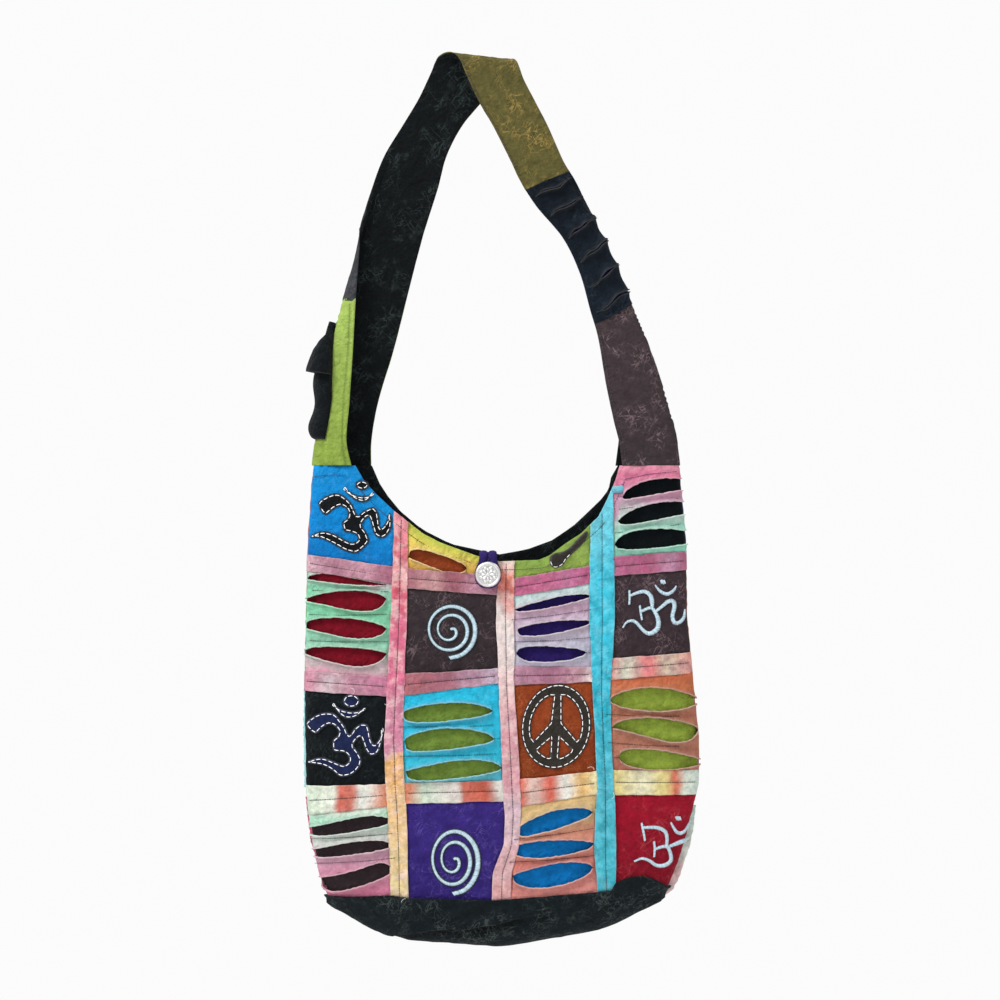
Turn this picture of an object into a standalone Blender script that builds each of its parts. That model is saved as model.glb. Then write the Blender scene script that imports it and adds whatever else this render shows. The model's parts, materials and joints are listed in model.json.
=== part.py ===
"""A patchwork cotton crossbody bag, hanging by its strap, in metres with +Z up.

The front faces -Y. The origin is the underside of the strap's top fold, where a hook or peg carries the bag.
The pouch is one closed ring of cloth: it is read by a ring coordinate, which goes round the pouch, and by a
row coordinate, which goes up it. The strap is read by a station coordinate, which goes along it, and by a
width coordinate, which goes across it. Every piece of cloth is a sheet laid on one of these two skins.
"""

import math
from bisect import bisect_right

import bmesh
import bpy
from mathutils import Vector

# Driving sizes
BAG_WIDTH = 0.384
BAG_HEIGHT = 0.463
BAG_DEPTH = 0.058
SHOULDER_DROP = 0.394
POUCH_SHIFT = 0.021

# Cloth
LINING_THICK = 0.0010
UNDER_THICK = 0.0010
SLASHED_THICK = 0.0010
PATCH_THICK = 0.0020
STRIP_THICK = 0.0024
BASE_THICK = 0.0018
STRAP_THICK = 0.0013
LAYER_GAP = 0.0004
SEAM_GAP = 0.0007
COVER = 0.0032

# Shape of the pouch
SIDE_POWER = 2.5
BASE_ROUND = 0.030
BOTTOM_ROW = 0.08
STRAP_POWER = 1.6

# Slashes
SLASH_MARGIN = 0.06
SLASH_POWER = 0.7
SLASH_CLEAR = 0.45
STRAP_SLASHES = 5
STRAP_SLASH_GAPE = 0.08

# Pocket on the strap
POCKET_BULGE = 0.012
POCKET_THICK = 0.0015
POCKET_START = 1.0
POCKET_END = 3.5
POCKET_BEHIND = 0.375
POCKET_BEFORE = 0.125
POCKET_ROWS = 5
POCKET_COLUMNS = 8
POCKET_CLOSING = 0.3

# Button and loop
BUTTON_RADIUS = 0.0124
BUTTON_HEIGHT = 0.0045
BUTTON_ACROSS = -0.035
BUTTON_UP = 0.774
SHANK_RADIUS = 0.0024
LOOP_RADIUS = 0.0022
BUTTON_SIDES = 20
LOOP_COLUMN = 2.9
LOOP_STEPS = 2
LOOP_FACETS = 2

# Half section of the button from the shank's end: its radius and its rise, as shares of the button's.
BUTTON_PROFILE = (
    (0.90, 0.00), (1.00, 0.30), (0.95, 0.60), (0.72, 0.55), (0.62, 0.75), (0.30, 0.95), (0.00, 1.00),
)

# The loop's way round the shank: across and up from the button's middle, as shares of its radius.
LOOP_PLACES = ((0.34, 0.70), (0.80, 0.20), (0.80, -0.40), (0.44, -0.80), (0.00, -0.90))

# Column lines of the patchwork: height, then the eight lines from the left edge to the right edge.
# Heights are shares of BAG_HEIGHT above the lowest point, and the lines are shares of BAG_WIDTH from the middle.
COLUMN_LINES = (
    # height, left edge, strip 1 left, strip 1 right, strip 2 left, strip 2 right, strip 3 left, strip 3 right, edge
    (0.106, -0.442, -0.278, -0.238, -0.024, 0.020, 0.242, 0.284, 0.410),
    (0.158, -0.465, -0.280, -0.239, -0.021, 0.022, 0.238, 0.285, 0.438),
    (0.214, -0.478, -0.282, -0.240, 0.008, 0.040, 0.234, 0.285, 0.460),
    (0.276, -0.490, -0.285, -0.242, 0.010, 0.045, 0.236, 0.282, 0.480),
    (0.338, -0.496, -0.290, -0.248, 0.004, 0.044, 0.242, 0.278, 0.497),
    (0.432, -0.499, -0.294, -0.252, 0.000, 0.038, 0.236, 0.272, 0.498),
    (0.535, -0.500, -0.288, -0.248, -0.005, 0.028, 0.230, 0.270, 0.485),
    (0.680, -0.497, -0.278, -0.242, -0.012, 0.029, 0.222, 0.282, 0.469),
    (0.846, -0.492, -0.271, -0.240, -0.005, 0.029, 0.225, 0.279, 0.465),
    (1.000, -0.479, -0.269, -0.238, -0.004, 0.028, 0.226, 0.278, 0.448),
)

# Row lines of the patchwork, from the bottom fold up: heights where each column line crosses them.
ROW_LINES = (
    # left edge, strip 1 left, strip 1 right, strip 2 left, strip 2 right, strip 3 left, strip 3 right, right edge
    (0.087, 0.024, 0.014, 0.001, 0.002, 0.034, 0.047, 0.098),
    (0.101, 0.105, 0.100, 0.095, 0.098, 0.112, 0.116, 0.122),
    (0.274, 0.297, 0.302, 0.307, 0.295, 0.322, 0.320, 0.317),
    (0.332, 0.338, 0.341, 0.346, 0.348, 0.365, 0.368, 0.366),
    (0.533, 0.523, 0.525, 0.550, 0.546, 0.553, 0.557, 0.570),
    (0.570, 0.560, 0.566, 0.577, 0.581, 0.581, 0.598, 0.609),
    (0.782, 0.747, 0.746, 0.733, 0.730, 0.756, 0.772, 0.784),
    (0.813, 0.787, 0.785, 0.770, 0.764, 0.790, 0.808, 0.820),
)

# Necklines: place across the pouch and height.
FRONT_NECKLINE = (
    (-0.376, 1.000), (-0.354, 0.971), (-0.322, 0.942), (-0.272, 0.905), (-0.200, 0.859), (-0.155, 0.840),
    (-0.068, 0.814), (-0.006, 0.801), (0.092, 0.804), (0.120, 0.813), (0.160, 0.838), (0.200, 0.859),
    (0.244, 0.895), (0.270, 0.938), (0.290, 0.975), (0.299, 1.000),
)
BACK_NECKLINE = (
    (-0.329, 1.000), (-0.326, 0.978), (-0.298, 0.942), (-0.260, 0.905), (-0.205, 0.867), (-0.130, 0.836),
    (-0.006, 0.814), (0.065, 0.825), (0.128, 0.844), (0.182, 0.874), (0.222, 0.905), (0.252, 0.929),
    (0.272, 0.950), (0.285, 1.000),
)

# Depth of the pouch: height, and half depth as a share of half BAG_DEPTH.
DEPTHS = ((0.0, 0.90), (0.12, 0.96), (0.28, 1.00), (0.42, 0.96), (0.60, 0.82), (0.80, 0.66), (1.0, 0.58))

# Soft dents and swells of the front: place across, height, half width, half height, push out.
DENTS = (
    (-0.02, 0.70, 0.10, 0.10, -0.060),
    (-0.25, 0.42, 0.12, 0.18, 0.040),
    (0.22, 0.46, 0.12, 0.20, 0.045),
    (-0.34, 0.84, 0.05, 0.16, -0.060),
    (0.34, 0.84, 0.05, 0.16, -0.060),
    (-0.06, 0.05, 0.26, 0.02, -0.040),
)

# Where the skins are read: shares of a patch column, and the share of each band of rows.
COLUMN_CUTS = ((0, 0.06, 0.2, 0.49, 0.64, 0.82), (0,), (0, 0.33, 0.67), (0,), (0, 0.33, 0.67), (0,),
               (0, 0.125, 0.5, 0.8, 0.94))
ROW_CUTS = ((BOTTOM_ROW, 0.3, 0.6), (0, 0.5), (0,), (0, 0.5), (0,), (0, 0.5), (0,), (0, 0.5))

# Strap sections from the left shoulder over the top to the right shoulder. Rises are shares of SHOULDER_DROP,
# places across are shares of BAG_WIDTH from the pouch's middle, and depths are shares of BAG_DEPTH. The fold
# is where the strap turns back, and its line is counted from the back edge in STRAP_COLUMNS.
STRAP_SECTIONS = (
    # front edge's rise, back edge's rise, front edge, fold, back edge, the depth of each, and the fold's line
    (0.000, 0.000, -0.376, -0.472, -0.329, -0.21, 0.00, 0.21, 5),
    (0.063, 0.063, -0.388, -0.464, -0.328, -0.19, 0.00, 0.20, 5),
    (0.160, 0.160, -0.380, -0.452, -0.310, -0.16, 0.00, 0.19, 6),
    (0.282, 0.282, -0.372, -0.428, -0.272, -0.14, 0.00, 0.16, 6),
    (0.404, 0.404, -0.365, -0.396, -0.240, -0.13, 0.02, 0.14, 7),
    (0.496, 0.496, -0.358, -0.368, -0.216, -0.09, 0.04, 0.13, 7),
    (0.574, 0.574, -0.351, -0.350, -0.194, -0.04, 0.06, 0.12, 7),
    (0.672, 0.672, -0.325, -0.312, -0.162, 0.04, 0.09, 0.12, 7),
    (0.752, 0.752, -0.295, -0.276, -0.140, 0.10, 0.11, 0.13, 7),
    (0.825, 0.825, -0.250, -0.232, -0.102, 0.13, 0.13, 0.14, 7),
    (0.890, 0.885, -0.210, -0.190, -0.052, 0.14, 0.14, 0.14, 7),
    (0.951, 0.940, -0.180, -0.159, -0.012, 0.14, 0.14, 0.14, 7),
    (0.980, 0.964, -0.168, -0.146, 0.005, 0.14, 0.14, 0.14, 7),
    (0.994, 0.977, -0.158, -0.137, 0.014, 0.10, 0.10, 0.10, 7),
    (1.000, 0.983, -0.138, -0.118, 0.024, 0.00, 0.00, 0.00, 7),
    (0.994, 0.977, -0.118, -0.004, 0.034, -0.10, -0.10, -0.10, 2),
    (0.980, 0.964, -0.104, 0.006, 0.042, -0.14, -0.14, -0.14, 2),
    (0.940, 0.930, -0.086, 0.020, 0.055, -0.14, -0.14, -0.14, 2),
    (0.876, 0.876, -0.055, 0.049, 0.084, -0.14, -0.14, -0.14, 2),
    (0.818, 0.818, -0.020, 0.081, 0.115, -0.14, -0.14, -0.13, 2),
    (0.737, 0.737, 0.022, 0.122, 0.152, -0.13, -0.13, -0.11, 2),
    (0.690, 0.690, 0.045, 0.156, 0.182, -0.13, -0.13, -0.08, 2),
    (0.628, 0.628, 0.085, 0.203, 0.212, -0.13, -0.11, -0.02, 2),
    (0.550, 0.550, 0.152, 0.248, 0.240, -0.14, -0.07, 0.06, 2),
    (0.465, 0.465, 0.194, 0.290, 0.262, -0.15, -0.05, 0.09, 2),
    (0.375, 0.375, 0.220, 0.328, 0.275, -0.16, -0.03, 0.12, 2),
    (0.307, 0.307, 0.240, 0.358, 0.284, -0.17, -0.01, 0.13, 3),
    (0.192, 0.192, 0.260, 0.400, 0.292, -0.19, 0.00, 0.15, 3),
    (0.110, 0.110, 0.278, 0.424, 0.298, -0.20, 0.00, 0.18, 4),
    (0.054, 0.054, 0.292, 0.436, 0.292, -0.21, 0.00, 0.20, 4),
    (0.000, 0.000, 0.299, 0.442, 0.285, -0.21, 0.00, 0.21, 4),
)
STRAP_COLUMNS = 8
STRAP_LAST = len(STRAP_SECTIONS) - 1
LINING_JOIN = 21

# Lengths of the strap's outer cloth: name, first station, last station, colour.
STRAP_LENGTHS = (
    ("strap_green", 0, 4, (0.39, 0.53, 0.14)),
    ("strap_charcoal", 4, 7, (0.045, 0.048, 0.055)),
    ("strap_olive", 7, 21, (0.11, 0.105, 0.035)),
    ("strap_navy", 21, 25, (0.010, 0.016, 0.026)),
    ("strap_mauve", 25, STRAP_LAST, (0.075, 0.050, 0.058)),
)

# Front patches: column, row from the top, name, colour, and the slashes. Each slash is how far down the patch its
# left end and its right end lie, and its widest gape, all as shares of the patch's height.
PATCHES = (
    (1, 1, "patch_blue", (0.03, 0.28, 0.66), ()),
    (1, 2, "patch_mint_pink", (0.60, 0.62, 0.58),
     ((0.16, 0.17, 0.10), (0.40, 0.41, 0.11), (0.64, 0.67, 0.10), (0.88, 0.86, 0.05))),
    (1, 3, "patch_black", (0.012, 0.012, 0.016), ()),
    (1, 4, "patch_mint_rose", (0.62, 0.60, 0.55), ((0.30, 0.33, 0.11), (0.58, 0.60, 0.09), (0.84, 0.84, 0.10))),
    (2, 1, "patch_lime_yellow", (0.62, 0.52, 0.12), ((0.30, 0.42, 0.12),)),
    (2, 2, "patch_charcoal", (0.040, 0.030, 0.032), ()),
    (2, 3, "patch_turquoise", (0.03, 0.50, 0.70), ((0.20, 0.20, 0.08), (0.48, 0.47, 0.09), (0.80, 0.82, 0.10))),
    (2, 4, "patch_purple", (0.045, 0.025, 0.19), ()),
    (3, 1, "patch_green", (0.27, 0.42, 0.10), ()),
    (3, 2, "patch_lilac", (0.66, 0.60, 0.64), ((0.22, 0.20, 0.09), (0.52, 0.46, 0.10), (0.82, 0.74, 0.08))),
    (3, 3, "patch_rust", (0.28, 0.052, 0.012), ()),
    (3, 4, "patch_peach", (0.72, 0.38, 0.30), ((0.30, 0.24, 0.12), (0.56, 0.54, 0.09), (0.84, 0.80, 0.12))),
    (4, 1, "patch_pink_mint", (0.66, 0.50, 0.50), ((0.10, 0.10, 0.09), (0.44, 0.38, 0.11), (0.72, 0.72, 0.11))),
    (4, 2, "patch_brown", (0.048, 0.032, 0.034), ()),
    (4, 3, "patch_tan", (0.53, 0.22, 0.14), ((0.18, 0.14, 0.11), (0.46, 0.44, 0.12), (0.78, 0.78, 0.10))),
    (4, 4, "patch_crimson", (0.26, 0.006, 0.020), ()),
)
UNDER_COLOURS = {
    (1, 2): (0.20, 0.008, 0.016), (1, 4): (0.034, 0.022, 0.028), (2, 1): (0.26, 0.045, 0.017),
    (2, 3): (0.21, 0.35, 0.07), (3, 2): (0.028, 0.014, 0.11), (3, 4): (0.002, 0.19, 0.53),
    (4, 1): (0.004, 0.008, 0.010), (4, 3): (0.35, 0.46, 0.10),
}
STRIP_COLOURS = ((0.80, 0.62, 0.62), (0.84, 0.50, 0.46), (0.20, 0.62, 0.66))
BLACK = (0.006, 0.009, 0.011)
WASHED_BLACK = (0.008, 0.012, 0.014)
BACK_COLOUR = (0.45, 0.30, 0.28)
PURPLE = (0.045, 0.025, 0.16)
SILVER = (0.75, 0.74, 0.72)
PATCH_COLUMNS = (0, 2, 4, 6)
STRIP_COLUMNS = (1, 3, 5)

BANDS = len(ROW_LINES)
COLUMNS = 7
RING = 2 * COLUMNS


def lerp(low, high, share):
    """The value that lies a share of the way from low to high."""
    return low + (high - low) * share


def read_table(table, key, column):
    """A column of a table at a key, in straight runs between its rows and level past its ends."""
    keys = [row[0] for row in table]
    place = min(max(bisect_right(keys, key) - 1, 0), len(table) - 2)
    share = (key - keys[place]) / (keys[place + 1] - keys[place])
    share = min(max(share, 0.0), 1.0)
    return lerp(table[place][column], table[place + 1][column], share)


def read_line(values, place):
    """A list read between its entries."""
    index = min(int(place), len(values) - 2)
    return lerp(values[index], values[index + 1], place - index)


def read_curve(rows, place, column):
    """A column of a list of rows read along a smooth curve through them."""
    last = len(rows) - 1
    index = min(int(place), last - 1)
    share = place - index
    before = rows[max(index - 1, 0)][column]
    start = rows[index][column]
    end = rows[index + 1][column]
    after = rows[min(index + 2, last)][column]
    slope_in = (end - before) / 2
    slope_out = (after - start) / 2
    square = share * share
    cube = square * share
    return ((2 * cube - 3 * square + 1) * start + (cube - 2 * square + share) * slope_in
            + (3 * square - 2 * cube) * end + (cube - square) * slope_out)


def column_place(column, height):
    """Where a column coordinate lies across the pouch at a height, in metres from the pouch's middle."""
    index = min(int(column), COLUMNS - 1)
    left = read_table(COLUMN_LINES, height, 1 + index)
    right = read_table(COLUMN_LINES, height, 2 + index)
    return lerp(left, right, column - index) * (BAG_WIDTH - 2 * COVER)


def neckline(table, column):
    """Height of a neckline where a column meets it."""
    place = column_place(column, 0.9) / (BAG_WIDTH - 2 * COVER)
    return read_table(table, place, 1)


def row_height(column, row, back):
    """Height of a row coordinate on one column, as a share."""
    index = min(int(row), BANDS - 1)
    low = read_line(ROW_LINES[index], column)
    if index + 1 < BANDS:
        high = read_line(ROW_LINES[index + 1], column)
    else:
        high = neckline(BACK_NECKLINE if back else FRONT_NECKLINE, column)
    return lerp(low, high, row - index)


def height_metres(height):
    """World height of a share of the pouch's height."""
    return -SHOULDER_DROP - (BAG_HEIGHT - COVER) * (1 - height)


def half_depth(column, place, height, back):
    """Half the pouch's inner depth at a place across it."""
    left = column_place(0, height)
    right = column_place(COLUMNS, height)
    reach = abs(2 * (place - left) / (right - left) - 1)
    side = max(1 - reach ** SIDE_POWER, 0) ** (1 / SIDE_POWER)
    above = (height - read_line(ROW_LINES[0], column)) * BAG_HEIGHT
    under = 1 - min(above / BASE_ROUND, 1)
    depth = (BAG_DEPTH / 2 - COVER) * read_table(DEPTHS, height, 1) * side
    if not back:
        for across, up, half_width, half_height, push in DENTS:
            away = ((place / BAG_WIDTH - across) / half_width) ** 2 + ((height - up) / half_height) ** 2
            depth += push * BAG_DEPTH * math.exp(-away) * side
    return depth * math.sqrt(1 - under * under)


def pouch_point(ring, row):
    """A point of the pouch's skin: the ring runs along the front from the left, then along the back."""
    back = ring > COLUMNS
    column = RING - ring if back else ring
    height = row_height(column, row, back)
    place = column_place(column, height)
    depth = half_depth(column, place, height, back)
    return Vector((POUCH_SHIFT + place, depth if back else -depth, height_metres(height)))


def strap_section(station):
    """The three edges of the strap at a station: front edge, outer fold and back edge."""
    front_rise, back_rise, front, fold, back, front_in, fold_in, back_in = (
        read_curve(STRAP_SECTIONS, station, column) for column in range(8))
    sizes = []
    for rise, across, depth in ((front_rise, front, front_in), (front_rise, fold, fold_in),
                                (back_rise, back, back_in)):
        height = lerp(-SHOULDER_DROP, LINING_THICK + 2 * LAYER_GAP, rise)
        sizes.append(Vector((POUCH_SHIFT + across * BAG_WIDTH, depth * BAG_DEPTH, height)))
    return sizes


def strap_point(width, station):
    """A point of the strap's skin, from its back edge round its outer fold to its front edge."""
    front, fold, back = strap_section(station)
    fold_line = STRAP_SECTIONS[round(station)][-1] / STRAP_COLUMNS
    if width < fold_line:
        edge, share = back, 1 - width / fold_line
    else:
        edge, share = front, (width - fold_line) / (1 - fold_line)
    rounded = (1 - (1 - share) ** STRAP_POWER) ** (1 / STRAP_POWER)
    return Vector((lerp(fold.x, edge.x, share), lerp(fold.y, edge.y, rounded), lerp(back.z, front.z, width)))


class Skin:
    """A grid of points with outward normals. Each of its cells is read as two flat triangles."""

    def __init__(self, across, along, point, closed):
        self.across = across
        self.along = along
        self.points = [[point(first, second) for second in along] for first in across]
        self.normals = [[self.normal(i, j, closed) for j in range(len(along))] for i in range(len(across))]

    def normal(self, i, j, closed):
        """Outward normal at a crossing of the grid's lines."""
        last = len(self.across) - 1
        before, after = max(i - 1, 0), min(i + 1, last)
        if closed and i in (0, last):
            before, after = last - 1, 1
        low, high = max(j - 1, 0), min(j + 1, len(self.along) - 1)
        sideways = self.points[after][j] - self.points[before][j]
        upward = self.points[i][high] - self.points[i][low]
        return sideways.cross(upward).normalized()

    def at(self, first, second, out):
        """The point that lies a distance out from the skin."""
        i = min(max(bisect_right(self.across, first) - 1, 0), len(self.across) - 2)
        j = min(max(bisect_right(self.along, second) - 1, 0), len(self.along) - 2)
        u = (first - self.across[i]) / (self.across[i + 1] - self.across[i])
        v = (second - self.along[j]) / (self.along[j + 1] - self.along[j])
        corner, far = self.moved(i, j, out), self.moved(i + 1, j + 1, out)
        if u >= v:
            side = self.moved(i + 1, j, out)
            return corner + (side - corner) * u + (far - side) * v
        side = self.moved(i, j + 1, out)
        return corner + (side - corner) * v + (far - side) * u

    def moved(self, i, j, out):
        """A crossing of the grid, moved out along its normal."""
        return self.points[i][j] + self.normals[i][j] * out


def make_material(name, colour, roughness, metallic=0.0):
    """A plain Principled material."""
    material = bpy.data.materials.new(name)
    material.use_nodes = True
    shader = material.node_tree.nodes["Principled BSDF"]
    shader.inputs["Base Color"].default_value = (*colour, 1)
    shader.inputs["Roughness"].default_value = roughness
    shader.inputs["Metallic"].default_value = metallic
    return material


def add_object(name, mesh, material):
    """Put a mesh in the scene as a named object."""
    mesh.materials.append(material)
    piece = bpy.data.objects.new(name, mesh)
    bpy.context.scene.collection.objects.link(piece)
    return piece


def add_cloth(name, inner, outer, faces, colour, roughness=0.9):
    """A closed sheet of cloth: its inner and outer points share faces, and walls join them along every edge.

    Four-sided faces are split along the diagonal that the skins use, so layers laid on each other stay apart.
    """
    count = len(inner)
    faces = [(face[0], face[k], face[k + 1]) for face in faces for k in range(1, len(face) - 1)]
    edges = {(face[k - 1], face[k]) for face in faces for k in range(len(face))}
    walls = [(start + count, start, end, end + count) for start, end in sorted(edges) if (end, start) not in edges]
    inward = [tuple(reversed(face)) for face in faces]
    outward = [tuple(corner + count for corner in face) for face in faces]
    mesh = bpy.data.meshes.new(name)
    mesh.from_pydata([tuple(point) for point in inner + outer], [], inward + outward + walls)
    mesh.update()
    return add_object(name, mesh, make_material(name, colour, roughness))


def grid_faces(lines, rows, closed=False):
    """Faces between the lines of a grid of points, joined round into a ring where it is closed."""
    faces = []
    for i in range(lines if closed else lines - 1):
        after = (i + 1) % lines
        for j in range(rows - 1):
            faces.append((i * rows + j, after * rows + j, after * rows + j + 1, i * rows + j + 1))
    return faces


def lay_cloth(skin, name, places, faces, out, thickness, colour):
    """Cloth of a thickness, laid a distance out from a skin at a list of places on it."""
    inner = [skin.at(*place, out) for place in places]
    outer = [skin.at(*place, out + thickness) for place in places]
    return add_cloth(name, inner, outer, faces, colour)


def column_width(column):
    """Width in metres of a column of the patchwork at the middle of the pouch."""
    return column_place(column + 1, 0.5) - column_place(column, 0.5)


def band_height(column, band, back):
    """Height in metres of a band of rows on one column."""
    return (row_height(column, band + 1, back) - row_height(column, band, back)) * BAG_HEIGHT


def panel_place(first, last, low, high, across, up, back=False):
    """Ring and row coordinates of a share across and up a panel, with half a seam gap left round it."""
    start = first + SEAM_GAP / 2 / column_width(first)
    end = last - SEAM_GAP / 2 / column_width(last - 1)
    column = lerp(start, end, across)
    bottom = low + SEAM_GAP / 2 / band_height(column, low, back)
    top = high - SEAM_GAP / 2 / band_height(column, high - 1, back)
    return (RING - column if back else column), lerp(bottom, top, up)


def cut_shares(cuts, first, last):
    """Shares of a run of cells where its skin has lines, with both ends."""
    lines = [cell + cut for cell in range(first, last) for cut in cuts[cell]] + [last]
    return [0.0] + [(line - first) / (last - first) for line in lines[1:-1]] + [1.0]


def panel_cloth(skin, name, cells, out, thickness, colour, back=False):
    """A plain panel of the pouch over a run of columns and bands."""
    first, last, low, high = cells
    across = cut_shares(COLUMN_CUTS, first, last)
    up = cut_shares(ROW_CUTS, low, high)
    if back:
        across = across[::-1]
    places = [panel_place(*cells, a, b, back) for a in across for b in up]
    return lay_cloth(skin, name, places, grid_faces(len(across), len(up)), out, thickness, colour)


def slashed_cloth(skin, name, place, across, margin, plain, slashes, out, thickness, colour):
    """A panel with slashes cut through it: each slash is a lens between an upper and a lower lip.

    place(across, up) gives a place on the skin, the margin is what stays whole at both ends of a slash, plain
    lines up the panel are kept where no slash comes near, and each slash is its height at both ends and its gape.
    """
    points = []
    lines = []
    kept = [line for line in plain
            if all(min(abs(start - line), abs(end - line)) > SLASH_CLEAR * gape for start, end, gape in slashes)]
    for share in across:
        heights = [(line, line) for line in (0.0, *kept, 1.0)]
        inside = round((share - margin) / (1 - 2 * margin), 6)
        opening = math.sin(math.pi * inside) ** SLASH_POWER if 0 < inside < 1 else 0
        for start, end, gape in slashes:
            middle = lerp(start, end, share)
            heights.append((middle - gape * opening / 2, middle + gape * opening / 2))
        heights.sort()
        line = []
        for low, high in heights:
            points.append(place(share, low))
            below = len(points) - 1
            if high > low:
                points.append(place(share, high))
            line.append((below, len(points) - 1))
        lines.append(line)
    faces = []
    for left, right in zip(lines, lines[1:]):
        for lower in range(len(left) - 1):
            faces.append((left[lower][1], right[lower][1], right[lower + 1][0], left[lower + 1][0]))
    return lay_cloth(skin, name, points, faces, out, thickness, colour)


def ring_lines():
    """Ring coordinates of the pouch skin's lines, all the way round."""
    front = [cell + cut for cell in range(COLUMNS) for cut in COLUMN_CUTS[cell]] + [COLUMNS]
    return front + [RING - line for line in reversed(front[:-1])]


def row_lines():
    """Row coordinates of the pouch skin's lines."""
    return [band + cut for band in range(BANDS) for cut in ROW_CUTS[band]] + [BANDS]


def lining_half(skin, name, back):
    """The front or the back half of the lining. The front half also turns under to close the bottom."""
    rows = row_lines()
    columns = [line for line in ring_lines() if line <= COLUMNS]
    side = SEAM_GAP / 2 / column_width(0)
    columns[0] += side
    columns[-1] -= side
    if back:
        columns.reverse()
    places = []
    for column in columns:
        ring = RING - column if back else column
        trim = SEAM_GAP / 2 / band_height(column, BANDS - 1, back)
        seam = SEAM_GAP / band_height(column, 0, back)
        bottom = [(ring, rows[0] + seam)] if back else [(RING - column, rows[0]), (ring, rows[0])]
        places += bottom + [(ring, row) for row in rows[1:-1]] + [(ring, rows[-1] - trim)]
    count = len(places) // len(columns)
    lay_cloth(skin, name, places, grid_faces(len(columns), count), -LINING_THICK, LINING_THICK, BLACK)


def pouch_shell(skin, name, top, out, thickness, colour):
    """A closed-bottomed shell round the whole pouch, up to a row of the patchwork."""
    rows = [line for line in row_lines() if line <= top]
    rings = ring_lines()[:-1]
    places = []
    for ring in rings:
        back = ring > COLUMNS
        column = RING - ring if back else ring
        trim = SEAM_GAP / 2 / band_height(column, top - 1, back)
        places += [(ring, row) for row in rows[:-1]] + [(ring, rows[-1] - trim)]
    count = len(rows)
    faces = grid_faces(len(rings), count, closed=True)
    half = len(rings) // 2
    faces.append((0, (len(rings) - 1) * count, count))
    for step in range(1, half - 1):
        faces.append((step * count, (len(rings) - step) * count, (len(rings) - step - 1) * count,
                      (step + 1) * count))
    faces.append(((half - 1) * count, (half + 1) * count, half * count))
    return lay_cloth(skin, name, places, faces, out, thickness, colour)


def make_pouch(skin):
    """The lining, the base and the back of the pouch."""
    lining_half(skin, "pouch_lining_front", back=False)
    lining_half(skin, "pouch_lining_back", back=True)
    pouch_shell(skin, "base", 1, LAYER_GAP, BASE_THICK, WASHED_BLACK)
    for number, first in enumerate(PATCH_COLUMNS, 1):
        panel_cloth(skin, f"back_column_{number}", (first, first + 1, 1, BANDS), LAYER_GAP, PATCH_THICK,
                    BACK_COLOUR, back=True)
    for number, first in enumerate(STRIP_COLUMNS, 1):
        panel_cloth(skin, f"back_strip_{number}", (first, first + 1, 1, BANDS), LAYER_GAP, STRIP_THICK,
                    STRIP_COLOURS[number - 1], back=True)


def make_patches(skin):
    """The sixteen front patches, with an under-cloth below each slashed one."""
    for column, row, name, colour, slashes in PATCHES:
        first = PATCH_COLUMNS[column - 1]
        low = BANDS + 1 - 2 * row
        cells = (first, first + 1, low, low + 1)
        if not slashes:
            panel_cloth(skin, name, cells, LAYER_GAP, PATCH_THICK, colour)
            continue
        panel_cloth(skin, name.replace("patch", "under"), cells, LAYER_GAP, UNDER_THICK,
                    UNDER_COLOURS[column, row])
        across = sorted(set(cut_shares(COLUMN_CUTS, first, first + 1)) | {SLASH_MARGIN, 1 - SLASH_MARGIN})
        height = 3 * LAYER_GAP + UNDER_THICK
        upward = [(1 - start, 1 - end, gape) for start, end, gape in reversed(slashes)]
        slashed_cloth(skin, name, lambda a, b: panel_place(*cells, a, b), across, SLASH_MARGIN, (0.5,), upward,
                      height, SLASHED_THICK, colour)


def make_strips(skin):
    """The three long strips down the front and the short strips between the patches."""
    for number, first in enumerate(STRIP_COLUMNS, 1):
        panel_cloth(skin, f"long_strip_{number}", (first, first + 1, 1, BANDS), LAYER_GAP, STRIP_THICK,
                    STRIP_COLOURS[number - 1])
    for column, first in enumerate(PATCH_COLUMNS, 1):
        for row in range(1, BANDS // 2):
            low = BANDS - 2 * row
            panel_cloth(skin, f"strip_{column}_{row}", (first, first + 1, low, low + 1), LAYER_GAP, STRIP_THICK,
                        STRIP_COLOURS[(column + row) % 2])


def strap_cloth(skin, name, first, last, out, thickness, colour):
    """A plain length of strap between two stations, at the skin's own lines."""
    stations = [line for line in skin.along if first <= line <= last]
    places = [(width, station) for width in skin.across for station in stations]
    return lay_cloth(skin, name, places, grid_faces(len(skin.across), len(stations)), out, thickness, colour)


def station_gap(station):
    """Half a seam gap as a run of stations."""
    low, high = max(station - 0.5, 0), min(station + 0.5, STRAP_LAST)
    step = (strap_section(high)[1] - strap_section(low)[1]).length / (high - low)
    return SEAM_GAP / 2 / step


def strap_lines():
    """Stations of the strap skin's lines, with one on each side of every seam."""
    seams = [first for _, first, _, _ in STRAP_LENGTHS] + [STRAP_LAST]
    plain = [station for station in range(STRAP_LAST) if station not in seams]
    beside = [seam + side * station_gap(seam) for seam in seams for side in (-1, 1)]
    return sorted(plain + beside[1:-1])


def make_strap(skin):
    """The strap's lining in two lengths, its five lengths of outer cloth and the cloth below the slashed one."""
    for name, first, last in (("strap_lining_long", 0, LINING_JOIN), ("strap_lining_short", LINING_JOIN, STRAP_LAST)):
        strap_cloth(skin, name, first + station_gap(first), last - station_gap(last), -LAYER_GAP - LINING_THICK,
                    LINING_THICK, BLACK)
    for name, first, last, colour in STRAP_LENGTHS:
        first += station_gap(first)
        last -= station_gap(last)
        if name == "strap_navy":
            make_slashed_length(skin, name, first, last, colour)
            continue
        strap_cloth(skin, name, first, last, LAYER_GAP, STRAP_THICK, colour)


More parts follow.
